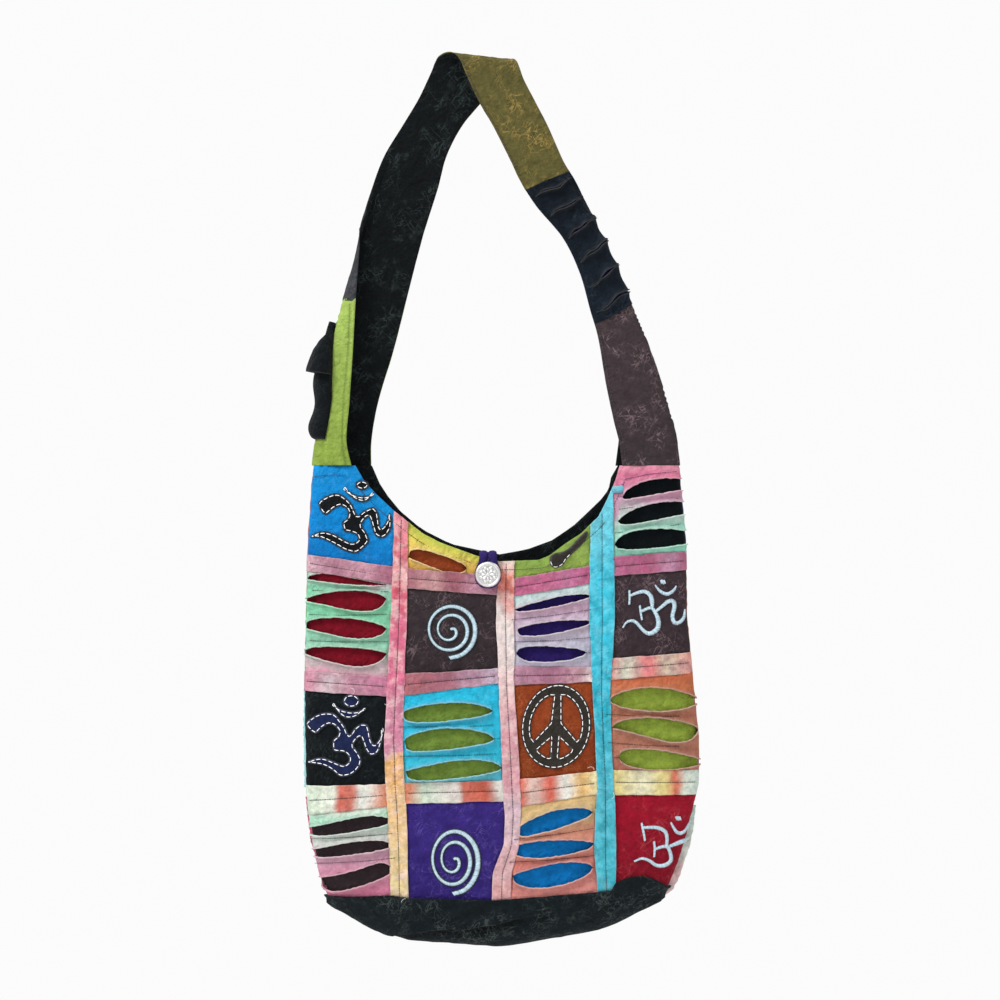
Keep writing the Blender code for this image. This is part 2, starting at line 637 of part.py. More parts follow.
def make_slashed_length(skin, name, first, last, colour):
    """The navy length with its crosswise slashes, over a purple cloth."""
    strap_cloth(skin, "under_navy", first, last, LAYER_GAP, UNDER_THICK, PURPLE)
    slashes = []
    for number in range(STRAP_SLASHES):
        middle = (number + 0.5) / STRAP_SLASHES
        slashes.append((middle, middle, STRAP_SLASH_GAPE))
    height = 4 * LAYER_GAP + UNDER_THICK
    slashed_cloth(skin, name, lambda a, b: (a, lerp(first, last, b)), skin.across, 1 / STRAP_COLUMNS,
                  (0.25, 0.5, 0.75), slashes, height, STRAP_THICK, colour)


def make_pocket(skin):
    """The small pocket on the strap's outer edge, open at its top, and the flap over its mouth."""
    clear = STRAP_THICK + 3 * LAYER_GAP
    inner = []
    outer = []
    for side in range(POCKET_COLUMNS + 1):
        beside = lerp(-POCKET_BEHIND, POCKET_BEFORE, side / POCKET_COLUMNS)
        swell = math.sqrt(max(math.sin(math.pi * side / POCKET_COLUMNS), 0))
        for row in range(POCKET_ROWS + 1):
            closing = math.sqrt(min(row / POCKET_ROWS / POCKET_CLOSING, 1))
            station = lerp(POCKET_START, POCKET_END, row / POCKET_ROWS)
            width = read_curve(STRAP_SECTIONS, station, 8) / STRAP_COLUMNS + beside
            out = clear + POCKET_BULGE * closing * swell
            inner.append(skin.at(width, station, out))
            outer.append(skin.at(width, station, out + POCKET_THICK))
    add_cloth("pocket", inner, outer, grid_faces(POCKET_COLUMNS + 1, POCKET_ROWS + 1), BLACK)


def lathe(name, profile, sides, centre, colour, roughness, metallic):
    """A solid turned about the Y axis from a profile of radius and depth pairs that starts and ends on it."""
    mesh = bpy.data.meshes.new(name)
    shape = bmesh.new()
    rings = []
    for radius, depth in profile:
        if radius == 0:
            rings.append([shape.verts.new(centre + Vector((0, depth, 0)))])
            continue
        rings.append([shape.verts.new(centre + Vector((radius * math.cos(turn), depth, radius * math.sin(turn))))
                      for turn in (2 * math.pi * side / sides for side in range(sides))])
    for low, high in zip(rings, rings[1:]):
        for side in range(sides):
            after = (side + 1) % sides
            corners = [low[side % len(low)], low[after % len(low)], high[after % len(high)], high[side % len(high)]]
            shape.faces.new(list(dict.fromkeys(corners)))
    bmesh.ops.recalc_face_normals(shape, faces=shape.faces)
    shape.to_mesh(mesh)
    shape.free()
    mesh.shade_smooth()
    return add_object(name, mesh, make_material(name, colour, roughness, metallic))


def make_button(skin):
    """A silver button with a shank, and the cloth loop that goes round it."""
    cloth = min(skin.at(ring, row, COVER).y for ring in (2.7, LOOP_COLUMN, 3.0) for row in (6.5, 7.0, 7.5, 8.0))
    back = cloth - 2 * LOOP_RADIUS - 3 * LAYER_GAP
    centre = Vector((POUCH_SHIFT + BUTTON_ACROSS * BAG_WIDTH, 0, height_metres(BUTTON_UP)))
    shank = cloth - LAYER_GAP
    profile = [(0, shank), (SHANK_RADIUS, shank), (SHANK_RADIUS, back)]
    profile += [(radius * BUTTON_RADIUS, back - rise * BUTTON_HEIGHT) for radius, rise in BUTTON_PROFILE]
    lathe("button", profile, BUTTON_SIDES, centre, SILVER, 0.3, 1.0)
    make_loop(skin, centre, cloth)


def make_loop(skin, centre, cloth):
    """The cloth loop from the back neckline over the mouth and round the button's shank."""
    close = LOOP_RADIUS + LAYER_GAP
    rest = cloth - close
    back_edge = skin.at(RING - LOOP_COLUMN, BANDS, -LINING_THICK)
    top = back_edge.z - 3 * LOOP_RADIUS
    crown = max(skin.at(LOOP_COLUMN, BANDS, COVER).z, top) + 2.6 * LOOP_RADIUS
    over = [
        # across, depth, height
        (close, back_edge.y - 2 * LAYER_GAP, top),
        (close, back_edge.y - 3 * LOOP_RADIUS, top + 0.3 * LOOP_RADIUS),
        (close, lerp(back_edge.y, cloth, 0.5), crown - LOOP_RADIUS),
        (close, cloth + 2 * LOOP_RADIUS, crown),
        (close, rest + 0.3 * LOOP_RADIUS, crown - 0.6 * LOOP_RADIUS),
        (1.1 * close, rest, crown - 2 * LOOP_RADIUS),
    ]
    around = [(across * BUTTON_RADIUS, rest, centre.z + up * BUTTON_RADIUS) for across, up in LOOP_PLACES]
    half = over + around
    route = [(-x, y, z) for x, y, z in half] + list(reversed(half[:-1]))
    curve = bpy.data.curves.new("button_loop", "CURVE")
    curve.dimensions = "3D"
    curve.bevel_depth = LOOP_RADIUS
    curve.bevel_resolution = LOOP_FACETS
    curve.use_fill_caps = True
    spline = curve.splines.new("POLY")
    count = (len(route) - 1) * LOOP_STEPS
    spline.points.add(count)
    for index in range(count + 1):
        x, y, z = (read_curve(route, index / LOOP_STEPS, axis) for axis in range(3))
        spline.points[index].co = (centre.x + x, y, z, 1)
    add_object("button_loop", curve, make_material("button_loop", PURPLE, 0.9))


def main():
    """Build the whole bag."""
    for piece in list(bpy.data.objects):
        bpy.data.objects.remove(piece)
    pouch = Skin(ring_lines(), row_lines(), pouch_point, closed=True)
    widths = [column / STRAP_COLUMNS for column in range(STRAP_COLUMNS + 1)]
    strap = Skin(widths, strap_lines(), strap_point, closed=False)
    make_pouch(pouch)
    make_patches(pouch)
    make_strips(pouch)
    make_strap(strap)
    make_pocket(strap)
    make_button(pouch)


main()
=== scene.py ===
"""The look of the patchwork crossbody bag: cloth, stitches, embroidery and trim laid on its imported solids."""

import json
import math
from bisect import bisect_right

import bmesh
import bpy
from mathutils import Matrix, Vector, noise
from mathutils.geometry import delaunay_2d_cdt


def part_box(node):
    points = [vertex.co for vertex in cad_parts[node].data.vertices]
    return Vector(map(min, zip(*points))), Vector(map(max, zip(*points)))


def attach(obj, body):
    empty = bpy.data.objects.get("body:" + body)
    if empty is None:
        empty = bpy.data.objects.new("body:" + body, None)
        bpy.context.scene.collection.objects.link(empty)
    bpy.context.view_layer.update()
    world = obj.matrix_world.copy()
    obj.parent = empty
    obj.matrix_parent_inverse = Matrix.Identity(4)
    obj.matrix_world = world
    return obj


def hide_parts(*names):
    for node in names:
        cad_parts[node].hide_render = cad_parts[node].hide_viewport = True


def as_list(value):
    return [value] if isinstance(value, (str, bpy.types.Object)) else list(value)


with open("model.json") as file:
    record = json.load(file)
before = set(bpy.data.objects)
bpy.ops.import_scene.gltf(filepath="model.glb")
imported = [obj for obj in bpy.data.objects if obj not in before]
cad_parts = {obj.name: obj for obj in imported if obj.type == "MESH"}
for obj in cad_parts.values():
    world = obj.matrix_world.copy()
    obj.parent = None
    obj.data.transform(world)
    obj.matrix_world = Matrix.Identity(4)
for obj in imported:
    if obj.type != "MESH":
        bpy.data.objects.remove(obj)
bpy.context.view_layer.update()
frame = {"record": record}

# Driving sizes
BAG_WIDTH = 0.384
BAG_HEIGHT = 0.463
BAG_DEPTH = 0.058
SHOULDER_DROP = 0.394
POUCH_SHIFT = 0.021

# Cloth
LINING_THICK = 0.0010
LAYER_GAP = 0.0004
COVER = 0.0032

# Shape of the pouch
SIDE_POWER = 2.5
BASE_ROUND = 0.030
BOTTOM_ROW = 0.08
STRAP_POWER = 1.6

# Pocket on the strap
POCKET_BULGE = 0.012
POCKET_START = 1.0
POCKET_END = 3.5
POCKET_BEHIND = 0.375
POCKET_BEFORE = 0.125
POCKET_CLOSING = 0.3


# Column lines of the patchwork: height, then the eight lines from the left edge to the right edge.
# Heights are shares of BAG_HEIGHT above the lowest point, and the lines are shares of BAG_WIDTH from the middle.
COLUMN_LINES = (
    # height, left edge, strip 1 left, strip 1 right, strip 2 left, strip 2 right, strip 3 left, strip 3 right, edge
    (0.106, -0.442, -0.278, -0.238, -0.024, 0.020, 0.242, 0.284, 0.410),
    (0.158, -0.465, -0.280, -0.239, -0.021, 0.022, 0.238, 0.285, 0.438),
    (0.214, -0.478, -0.282, -0.240, 0.008, 0.040, 0.234, 0.285, 0.460),
    (0.276, -0.490, -0.285, -0.242, 0.010, 0.045, 0.236, 0.282, 0.480),
    (0.338, -0.496, -0.290, -0.248, 0.004, 0.044, 0.242, 0.278, 0.497),
    (0.432, -0.499, -0.294, -0.252, 0.000, 0.038, 0.236, 0.272, 0.498),
    (0.535, -0.500, -0.288, -0.248, -0.005, 0.028, 0.230, 0.270, 0.485),
    (0.680, -0.497, -0.278, -0.242, -0.012, 0.029, 0.222, 0.282, 0.469),
    (0.846, -0.492, -0.271, -0.240, -0.005, 0.029, 0.225, 0.279, 0.465),
    (1.000, -0.479, -0.269, -0.238, -0.004, 0.028, 0.226, 0.278, 0.448),
)

# Row lines of the patchwork, from the bottom fold up: heights where each column line crosses them.
ROW_LINES = (
    # left edge, strip 1 left, strip 1 right, strip 2 left, strip 2 right, strip 3 left, strip 3 right, right edge
    (0.087, 0.024, 0.014, 0.001, 0.002, 0.034, 0.047, 0.098),
    (0.101, 0.105, 0.100, 0.095, 0.098, 0.112, 0.116, 0.122),
    (0.274, 0.297, 0.302, 0.307, 0.295, 0.322, 0.320, 0.317),
    (0.332, 0.338, 0.341, 0.346, 0.348, 0.365, 0.368, 0.366),
    (0.533, 0.523, 0.525, 0.550, 0.546, 0.553, 0.557, 0.570),
    (0.570, 0.560, 0.566, 0.577, 0.581, 0.581, 0.598, 0.609),
    (0.782, 0.747, 0.746, 0.733, 0.730, 0.756, 0.772, 0.784),
    (0.813, 0.787, 0.785, 0.770, 0.764, 0.790, 0.808, 0.820),
)

# Necklines: place across the pouch and height.
FRONT_NECKLINE = (
    (-0.376, 1.000), (-0.354, 0.971), (-0.322, 0.942), (-0.272, 0.905), (-0.200, 0.859), (-0.155, 0.840),
    (-0.068, 0.814), (-0.006, 0.801), (0.092, 0.804), (0.120, 0.813), (0.160, 0.838), (0.200, 0.859),
    (0.244, 0.895), (0.270, 0.938), (0.290, 0.975), (0.299, 1.000),
)
BACK_NECKLINE = (
    (-0.329, 1.000), (-0.326, 0.978), (-0.298, 0.942), (-0.260, 0.905), (-0.205, 0.867), (-0.130, 0.836),
    (-0.006, 0.814), (0.065, 0.825), (0.128, 0.844), (0.182, 0.874), (0.222, 0.905), (0.252, 0.929),
    (0.272, 0.950), (0.285, 1.000),
)

# Depth of the pouch: height, and half depth as a share of half BAG_DEPTH.
DEPTHS = ((0.0, 0.90), (0.12, 0.96), (0.28, 1.00), (0.42, 0.96), (0.60, 0.82), (0.80, 0.66), (1.0, 0.58))

# Soft dents and swells of the front: place across, height, half width, half height, push out.
DENTS = (
    (-0.02, 0.70, 0.10, 0.10, -0.060),
    (-0.25, 0.42, 0.12, 0.18, 0.040),
    (0.22, 0.46, 0.12, 0.20, 0.045),
    (-0.34, 0.84, 0.05, 0.16, -0.060),
    (0.34, 0.84, 0.05, 0.16, -0.060),
    (-0.06, 0.05, 0.26, 0.02, -0.040),
)

# Strap sections from the left shoulder over the top to the right shoulder. Rises are shares of SHOULDER_DROP,
# places across are shares of BAG_WIDTH from the pouch's middle, and depths are shares of BAG_DEPTH. The fold
# is where the strap turns back, and its line is counted from the back edge in STRAP_COLUMNS.
STRAP_SECTIONS = (
    # front edge's rise, back edge's rise, front edge, fold, back edge, the depth of each, and the fold's line
    (0.000, 0.000, -0.376, -0.472, -0.329, -0.21, 0.00, 0.21, 5),
    (0.063, 0.063, -0.388, -0.464, -0.328, -0.19, 0.00, 0.20, 5),
    (0.160, 0.160, -0.380, -0.452, -0.310, -0.16, 0.00, 0.19, 6),
    (0.282, 0.282, -0.372, -0.428, -0.272, -0.14, 0.00, 0.16, 6),
    (0.404, 0.404, -0.365, -0.396, -0.240, -0.13, 0.02, 0.14, 7),
    (0.496, 0.496, -0.358, -0.368, -0.216, -0.09, 0.04, 0.13, 7),
    (0.574, 0.574, -0.351, -0.350, -0.194, -0.04, 0.06, 0.12, 7),
    (0.672, 0.672, -0.325, -0.312, -0.162, 0.04, 0.09, 0.12, 7),
    (0.752, 0.752, -0.295, -0.276, -0.140, 0.10, 0.11, 0.13, 7),
    (0.825, 0.825, -0.250, -0.232, -0.102, 0.13, 0.13, 0.14, 7),
    (0.890, 0.885, -0.210, -0.190, -0.052, 0.14, 0.14, 0.14, 7),
    (0.951, 0.940, -0.180, -0.159, -0.012, 0.14, 0.14, 0.14, 7),
    (0.980, 0.964, -0.168, -0.146, 0.005, 0.14, 0.14, 0.14, 7),
    (0.994, 0.977, -0.158, -0.137, 0.014, 0.10, 0.10, 0.10, 7),
    (1.000, 0.983, -0.138, -0.118, 0.024, 0.00, 0.00, 0.00, 7),
    (0.994, 0.977, -0.118, -0.004, 0.034, -0.10, -0.10, -0.10, 2),
    (0.980, 0.964, -0.104, 0.006, 0.042, -0.14, -0.14, -0.14, 2),
    (0.940, 0.930, -0.086, 0.020, 0.055, -0.14, -0.14, -0.14, 2),
    (0.876, 0.876, -0.055, 0.049, 0.084, -0.14, -0.14, -0.14, 2),
    (0.818, 0.818, -0.020, 0.081, 0.115, -0.14, -0.14, -0.13, 2),
    (0.737, 0.737, 0.022, 0.122, 0.152, -0.13, -0.13, -0.11, 2),
    (0.690, 0.690, 0.045, 0.156, 0.182, -0.13, -0.13, -0.08, 2),
    (0.628, 0.628, 0.085, 0.203, 0.212, -0.13, -0.11, -0.02, 2),
    (0.550, 0.550, 0.152, 0.248, 0.240, -0.14, -0.07, 0.06, 2),
    (0.465, 0.465, 0.194, 0.290, 0.262, -0.15, -0.05, 0.09, 2),
    (0.375, 0.375, 0.220, 0.328, 0.275, -0.16, -0.03, 0.12, 2),
    (0.307, 0.307, 0.240, 0.358, 0.284, -0.17, -0.01, 0.13, 3),
    (0.192, 0.192, 0.260, 0.400, 0.292, -0.19, 0.00, 0.15, 3),
    (0.110, 0.110, 0.278, 0.424, 0.298, -0.20, 0.00, 0.18, 4),
    (0.054, 0.054, 0.292, 0.436, 0.292, -0.21, 0.00, 0.20, 4),
    (0.000, 0.000, 0.299, 0.442, 0.285, -0.21, 0.00, 0.21, 4),
)
STRAP_COLUMNS = 8

BANDS = len(ROW_LINES)
COLUMNS = 7
RING = 2 * COLUMNS

# The photograph's frame on the pouch: pixels across and down, as measured from it.
PHOTO_MIDDLE = 502
PHOTO_BOTTOM = 948
PHOTO_WIDE = 400
PHOTO_HIGH = 482
STEP = 0.0018
# The shortest side that a sheet's worked-out cut size is given. The shortest side that
# a sheet may be declared with.
LEAST_SIDE = 0.0101
# How much wider apart the lines of the back's large pieces are.
BACK_STEP = 1.6
# How far a strip reaches over its neighbours, and how far a patch runs on below a strip.
STRIP_OVER = 0.0009
TUCK = 0.0030
LIP_BACK = 1.0


def lerp(low, high, share):
    """The value that lies a share of the way from low to high."""
    return low + (high - low) * share


def read_table(table, key, column):
    """A column of a table at a key, in straight runs between its rows and level past its ends."""
    keys = [row[0] for row in table]
    place = min(max(bisect_right(keys, key) - 1, 0), len(table) - 2)
    share = (key - keys[place]) / (keys[place + 1] - keys[place])
    share = min(max(share, 0.0), 1.0)
    return lerp(table[place][column], table[place + 1][column], share)


def read_line(values, place):
    """A list read between its entries."""
    index = min(int(place), len(values) - 2)
    return lerp(values[index], values[index + 1], place - index)


def read_curve(rows, place, column):
    """A column of a list of rows read along a smooth curve through them."""
    last = len(rows) - 1
    index = min(int(place), last - 1)
    share = place - index
    before = rows[max(index - 1, 0)][column]
    start = rows[index][column]
    end = rows[index + 1][column]
    after = rows[min(index + 2, last)][column]
    slope_in = (end - before) / 2
    slope_out = (after - start) / 2
    square = share * share
    cube = square * share
    return ((2 * cube - 3 * square + 1) * start + (cube - 2 * square + share) * slope_in
            + (3 * square - 2 * cube) * end + (cube - square) * slope_out)


def column_place(column, height):
    """Where a column coordinate lies across the pouch at a height, in metres from the pouch's middle."""
    index = min(int(column), COLUMNS - 1)
    left = read_table(COLUMN_LINES, height, 1 + index)
    right = read_table(COLUMN_LINES, height, 2 + index)
    return lerp(left, right, column - index) * (BAG_WIDTH - 2 * COVER)


def neckline(table, column):
    """Height of a neckline where a column meets it."""
    place = column_place(column, 0.9) / (BAG_WIDTH - 2 * COVER)
    return read_table(table, place, 1)


def row_height(column, row, back):
    """Height of a row coordinate on one column, as a share."""
    index = min(int(row), BANDS - 1)
    low = read_line(ROW_LINES[index], column)
    if index + 1 < BANDS:
        high = read_line(ROW_LINES[index + 1], column)
    else:
        high = neckline(BACK_NECKLINE if back else FRONT_NECKLINE, column)
    return lerp(low, high, row - index)


def height_metres(height):
    """World height of a share of the pouch's height."""
    return -SHOULDER_DROP - (BAG_HEIGHT - COVER) * (1 - height)


def mottle(x, y, size, seed):
    """Smooth noise from -1 to 1 with features of a size, on a flat place in metres."""
    return noise.noise(Vector((x / size, y / size, seed)))


def folds(place, height):
    """Soft creases that every layer of the front follows, in metres."""
    up = height * BAG_HEIGHT
    return 0.0014 * mottle(place, up * 1.3, 0.060, 3.1) + 0.0009 * mottle(place * 1.4, up, 0.026, 7.7)


def half_depth(column, place, height, back):
    """Half the pouch's inner depth at a place across it."""
    left = column_place(0, height)
    right = column_place(COLUMNS, height)
    reach = min(abs(2 * (place - left) / (right - left) - 1), 1)
    side = max(1 - reach ** SIDE_POWER, 0) ** (1 / SIDE_POWER)
    above = (height - read_line(ROW_LINES[0], column)) * BAG_HEIGHT
    under = 1 - min(max(above / BASE_ROUND, 0), 1)
    depth = (BAG_DEPTH / 2 - COVER) * read_table(DEPTHS, height, 1) * side
    if not back:
        for across, up, half_width, half_height, push in DENTS:
            away = ((place / BAG_WIDTH - across) / half_width) ** 2 + ((height - up) / half_height) ** 2
            depth += push * BAG_DEPTH * math.exp(-away) * side
    depth += folds(place, height + (2 if back else 0)) * side
    return depth * math.sqrt(1 - under * under)


def pouch(ring, row):
    """A point of the pouch's skin: the ring runs along the front from the left, then along the back."""
    back = ring > COLUMNS
    column = min(max(RING - ring if back else ring, 0), COLUMNS)
    height = row_height(column, row, back)
    place = column_place(column, height)
    depth = half_depth(column, place, height, back)
    return Vector((POUCH_SHIFT + place, depth if back else -depth, height_metres(height)))


def column_at(place, height):
    """The column coordinate of a place across the pouch at a height."""
    for index in range(COLUMNS):
        left = column_place(index, height)
        right = column_place(index + 1, height)
        if place <= right or index == COLUMNS - 1:
            return index + min(max((place - left) / (right - left), 0), 1)


def front(px, py):
    """A point of the front's skin at a place in the photograph."""
    height = (PHOTO_BOTTOM + py) / PHOTO_HIGH
    place = (px - PHOTO_MIDDLE) / PHOTO_WIDE * (BAG_WIDTH - 2 * COVER)
    depth = half_depth(column_at(place, height), place, height, False)
    return Vector((POUCH_SHIFT + place, -depth, height_metres(height)))


def strap(width, station):
    """A point of the strap's skin, from its back edge round its outer fold to its front edge."""
    station = min(max(station, 0), len(STRAP_SECTIONS) - 1)
    values = [read_curve(STRAP_SECTIONS, station, column) for column in range(8)]
    front_rise, back_rise, front_edge, fold, back_edge, front_in, fold_in, back_in = values
    index = min(int(station), len(STRAP_SECTIONS) - 2)
    line = lerp(STRAP_SECTIONS[index][-1], STRAP_SECTIONS[index + 1][-1], station - index) / STRAP_COLUMNS
    if width < line:
        edge, edge_in, share = back_edge, back_in, 1 - width / line
    else:
        edge, edge_in, share = front_edge, front_in, (width - line) / (1 - line)
    share = min(max(share, 0), 1)
    rounded = (1 - (1 - share) ** STRAP_POWER) ** (1 / STRAP_POWER)
    rise = lerp(back_rise, front_rise, width)
    height = lerp(-SHOULDER_DROP, LINING_THICK + 2 * LAYER_GAP, rise)
    return Vector((POUCH_SHIFT + lerp(fold, edge, share) * BAG_WIDTH, lerp(fold_in, edge_in, rounded) * BAG_DEPTH,
                   height))


def column_past(place):
    """The column coordinate of a place across the pouch at half its height, in metres from its middle."""
    index = min(max(bisect_right(LINES, place) - 1, 0), COLUMNS - 1)
    share = (place - LINES[index]) / (LINES[index + 1] - LINES[index])
    return index + min(max(share, 0), 1)


def row_past(height, column, low, high, back):
    """The row coordinate of a height on one column, in or next to a band between two row lines."""
    first, last = max(low - 1, 0), min(high, BANDS - 1)
    for line in range(first, last + 1):
        top = row_height(column, line + 1, back)
        if height <= top or line == last:
            bottom = row_height(column, line, back)
            return line + min(max((height - bottom) / (top - bottom), 0), 1)


LINES = [column_place(line, 0.5) for line in range(COLUMNS + 1)]


def lifted(surface, a, b, out, nudge=0.004):
    """The point that lies a distance out from a surface."""
    point = surface(a, b)
    sideways = surface(a + nudge, b) - surface(a - nudge, b)
    upward = surface(a, b + nudge) - surface(a, b - nudge)
    return point + sideways.cross(upward).normalized() * out


def on_front(px, py, out):
    """The point a distance out from the front at a place in the photograph, with y down."""
    return lifted(front, px, -py, out, 1.5)


def linear(red, green, blue):
    """A colour from 0 to 255 as linear light."""
    return tuple(((value / 255 + 0.055) / 1.055) ** 2.4 if value > 10 else value / 255 / 12.92
                 for value in (red, green, blue))


class Nodes:
    """A short way to build a material's nodes."""

    def __init__(self, name, roughness, metallic=0.0, sheen=0.0):
        self.material = bpy.data.materials.new(name)
        self.material.use_nodes = True
        self.tree = self.material.node_tree
        self.shader = self.tree.nodes["Principled BSDF"]
        self.shader.inputs["Roughness"].default_value = roughness
        self.shader.inputs["Metallic"].default_value = metallic
        self.shader.inputs["Sheen Weight"].default_value = sheen
        self.shader.inputs["Specular IOR Level"].default_value = 0.5 if metallic else 0.10
        self.place = self.add("TexCoord").outputs["Object"]

    def add(self, kind, **settings):
        node = self.tree.nodes.new("ShaderNode" + kind)
        for key, value in settings.items():
            setattr(node, key, value)
        return node

    def join(self, source, target):
        self.tree.links.new(source, target)

    def noise(self, scale, detail=3, rough=0.55, place=None):
        node = self.add("TexNoise")
        node.inputs["Scale"].default_value = scale
        node.inputs["Detail"].default_value = detail
        node.inputs["Roughness"].default_value = rough
        self.join(place or self.place, node.inputs["Vector"])
        return node.outputs["Fac"]

    def math(self, operation, first, second, clamp=False):
        node = self.add("Math", operation=operation, use_clamp=clamp)
        for socket, value in zip(node.inputs, (first, second)):
            if isinstance(value, (int, float)):
                socket.default_value = value
            else:
                self.join(value, socket)
        return node.outputs[0]

    def spread(self, value, low, high, to_low=0.0, to_high=1.0):
        node = self.add("MapRange", interpolation_type="SMOOTHSTEP")
        for key, number in (("From Min", low), ("From Max", high), ("To Min", to_low), ("To Max", to_high)):
            node.inputs[key].default_value = number
        self.join(value, node.inputs["Value"])
        return node.outputs["Result"]

    def mix(self, share, first, second, blend="MIX"):
        node = self.add("Mix", data_type="RGBA", blend_type=blend)
        for socket, value in zip((node.inputs[0], node.inputs[6], node.inputs[7]), (share, first, second)):
            if isinstance(value, (int, float)):
                socket.default_value = value
            elif isinstance(value, tuple):
                socket.default_value = (*value, 1)
            else:
                self.join(value, socket)
        return node.outputs[2]

    def ramp(self, share, stops):
        node = self.add("ValToRGB")
        line = node.color_ramp
        line.interpolation = "EASE"
        while len(line.elements) < len(stops):
            line.elements.new(0.5)
        for element, (place, colour) in zip(line.elements, stops):
            element.position = place
            element.color = (*linear(*colour), 1)
        self.join(share, node.inputs["Fac"])
        return node.outputs["Color"]

    def attribute(self, name):
        return self.add("Attribute", attribute_name=name).outputs["Fac"]

    def streaks(self, scale, turn):
        """Thin pale lines, mostly along one direction, as rubbed creases leave."""
        lay = self.add("Mapping", vector_type="TEXTURE")
        lay.inputs["Rotation"].default_value = (0, turn, 0)
        lay.inputs["Scale"].default_value = (1, 1, 4.2)
        lay.inputs["Location"].default_value = (turn, 0, turn)
        self.join(self.place, lay.inputs["Vector"])
        value = self.noise(scale, 2, 0.6, lay.outputs[0])
        return self.spread(self.math("ABSOLUTE", self.math("SUBTRACT", value, 0.5), 0), 0.0, 0.016, 1.0, 0.0)

    def weave(self):
        waves = []
        for axis in ("X", "Z"):
            node = self.add("TexWave", wave_type="BANDS", bands_direction=axis)
            node.inputs["Scale"].default_value = 440
            node.inputs["Distortion"].default_value = 0.6
            self.join(self.place, node.inputs["Vector"])
            waves.append(node.outputs["Fac"])
        return self.math("MULTIPLY", *waves)

    def bump(self, height, distance, strength=1.0):
        node = self.add("Bump")
        node.inputs["Strength"].default_value = strength
        node.inputs["Distance"].default_value = distance
        self.join(height, node.inputs["Height"])
        self.join(node.outputs["Normal"], self.shader.inputs["Normal"])


def cloth_material(name, dye, wash=0.25, crackle=0.0, pale=(200, 190, 190), run=0.12, lip=0.5, blotch=None):
    """Stone-washed cotton: a tie-dye run along the cloth, pale rubs and crackle, pale worn edges and a weave."""
    nodes = Nodes(name, 0.95, sheen=0.02)
    blot = nodes.math("MULTIPLY", nodes.math("SUBTRACT", nodes.noise(45, 2), 0.5), run * 2)
    share = nodes.math("ADD", nodes.attribute("dye"), blot, clamp=True)
    colour = nodes.ramp(share, dye)
    shade = nodes.spread(nodes.noise(130, 5, 0.65), 0.25, 0.75, 0.80 - wash * 0.75, 0.84 + wash * 0.4)
    bright = nodes.add("CombineColor")
    for socket in bright.inputs[:3]:
        nodes.join(shade, socket)
    colour = nodes.mix(1.0, colour, bright.outputs[0], "MULTIPLY")
    rub = nodes.spread(nodes.noise(60, 6, 0.7), 0.56, 0.80, 0.0, wash * 0.9)
    colour = nodes.mix(rub, colour, linear(*pale))
    if blotch:
        spots = nodes.spread(nodes.noise(105, 4, 0.6), 0.44, 0.66, 0.0, 0.50)
        colour = nodes.mix(spots, colour, linear(*blotch))
    if crackle:
        lines = nodes.math("MAXIMUM", nodes.streaks(95, 0.5), nodes.streaks(120, 2.5))
        lines = nodes.math("MAXIMUM", lines, nodes.streaks(150, 1.3))
        patchy = nodes.spread(nodes.noise(40, 4), 0.42, 0.66, 0.0, 1.0)
        share = nodes.math("MULTIPLY", nodes.math("MULTIPLY", lines, patchy), crackle)
        colour = nodes.mix(share, colour, linear(*pale))
    edge = nodes.math("MULTIPLY", nodes.attribute("lip"), lip)
    colour = nodes.mix(edge, colour, nodes.mix(0.45, colour, (0.80, 0.76, 0.70)))
    nodes.join(colour, nodes.shader.inputs["Base Color"])
    crinkle = nodes.noise(210, 6, 0.65)
    crease = nodes.math("ABSOLUTE", nodes.math("SUBTRACT", nodes.noise(95, 3, 0.5), 0.5), 0)
    weave = nodes.math("MULTIPLY", nodes.weave(), 0.12)
    relief = nodes.math("ADD", nodes.math("ADD", crinkle, weave), nodes.math("MULTIPLY", crease, 3.2))
    nodes.bump(relief, 0.0022, 1.0)
    return nodes.material


def thread_material(name, colour, shade=0.25, metallic=0.0, roughness=0.7):
    """Cotton thread or metal with a small change of tone along it."""
    nodes = Nodes(name, roughness, metallic, sheen=0.0 if metallic else 0.1)
    tone = nodes.spread(nodes.noise(300, 3), 0.3, 0.7, 0.0, shade)
    tone = nodes.math("ADD", tone, nodes.math("MULTIPLY", nodes.attribute("dye"), 0.35), clamp=True)
    nodes.join(nodes.mix(tone, linear(*colour), (0.02, 0.02, 0.025)), nodes.shader.inputs["Base Color"])
    nodes.bump(nodes.noise(1500, 2), 0.0002, 0.5)
    return nodes.material


def finish(mesh, name, material, thick=0.0, replaces=(), slot=None, cloth=None, smooth=True):
    """Make a piece of a mesh, give it thickness, and hide the parts that it replaces."""
    mesh.materials.append(material)
    if smooth:
        mesh.shade_smooth()
    piece = bpy.data.objects.new(name, mesh)
    bpy.context.scene.collection.objects.link(piece)
    if thick:
        solid = piece.modifiers.new("thickness", "SOLIDIFY")
        solid.thickness = thick
        solid.offset = -1
    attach(piece, "root")
    if replaces:
        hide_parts(*replaces)
    if cloth:
        (width, length, area), held, rests = cloth
        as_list(rests)
    return piece


def new_mesh(name, points, faces, dye=None, lip=None):
    """A mesh of points and faces, with the shares along its dye and towards its worn edges."""
    mesh = bpy.data.meshes.new(name)
    faces = [list(dict.fromkeys(face)) for face in faces]
    mesh.from_pydata([tuple(point) for point in points], [], [face for face in faces if len(face) > 2])
    for key, values in (("dye", dye), ("lip", lip)):
        if values:
            mesh.attributes.new(key, "FLOAT", "POINT").data.foreach_set("value", values)
    mesh.update()
    return mesh


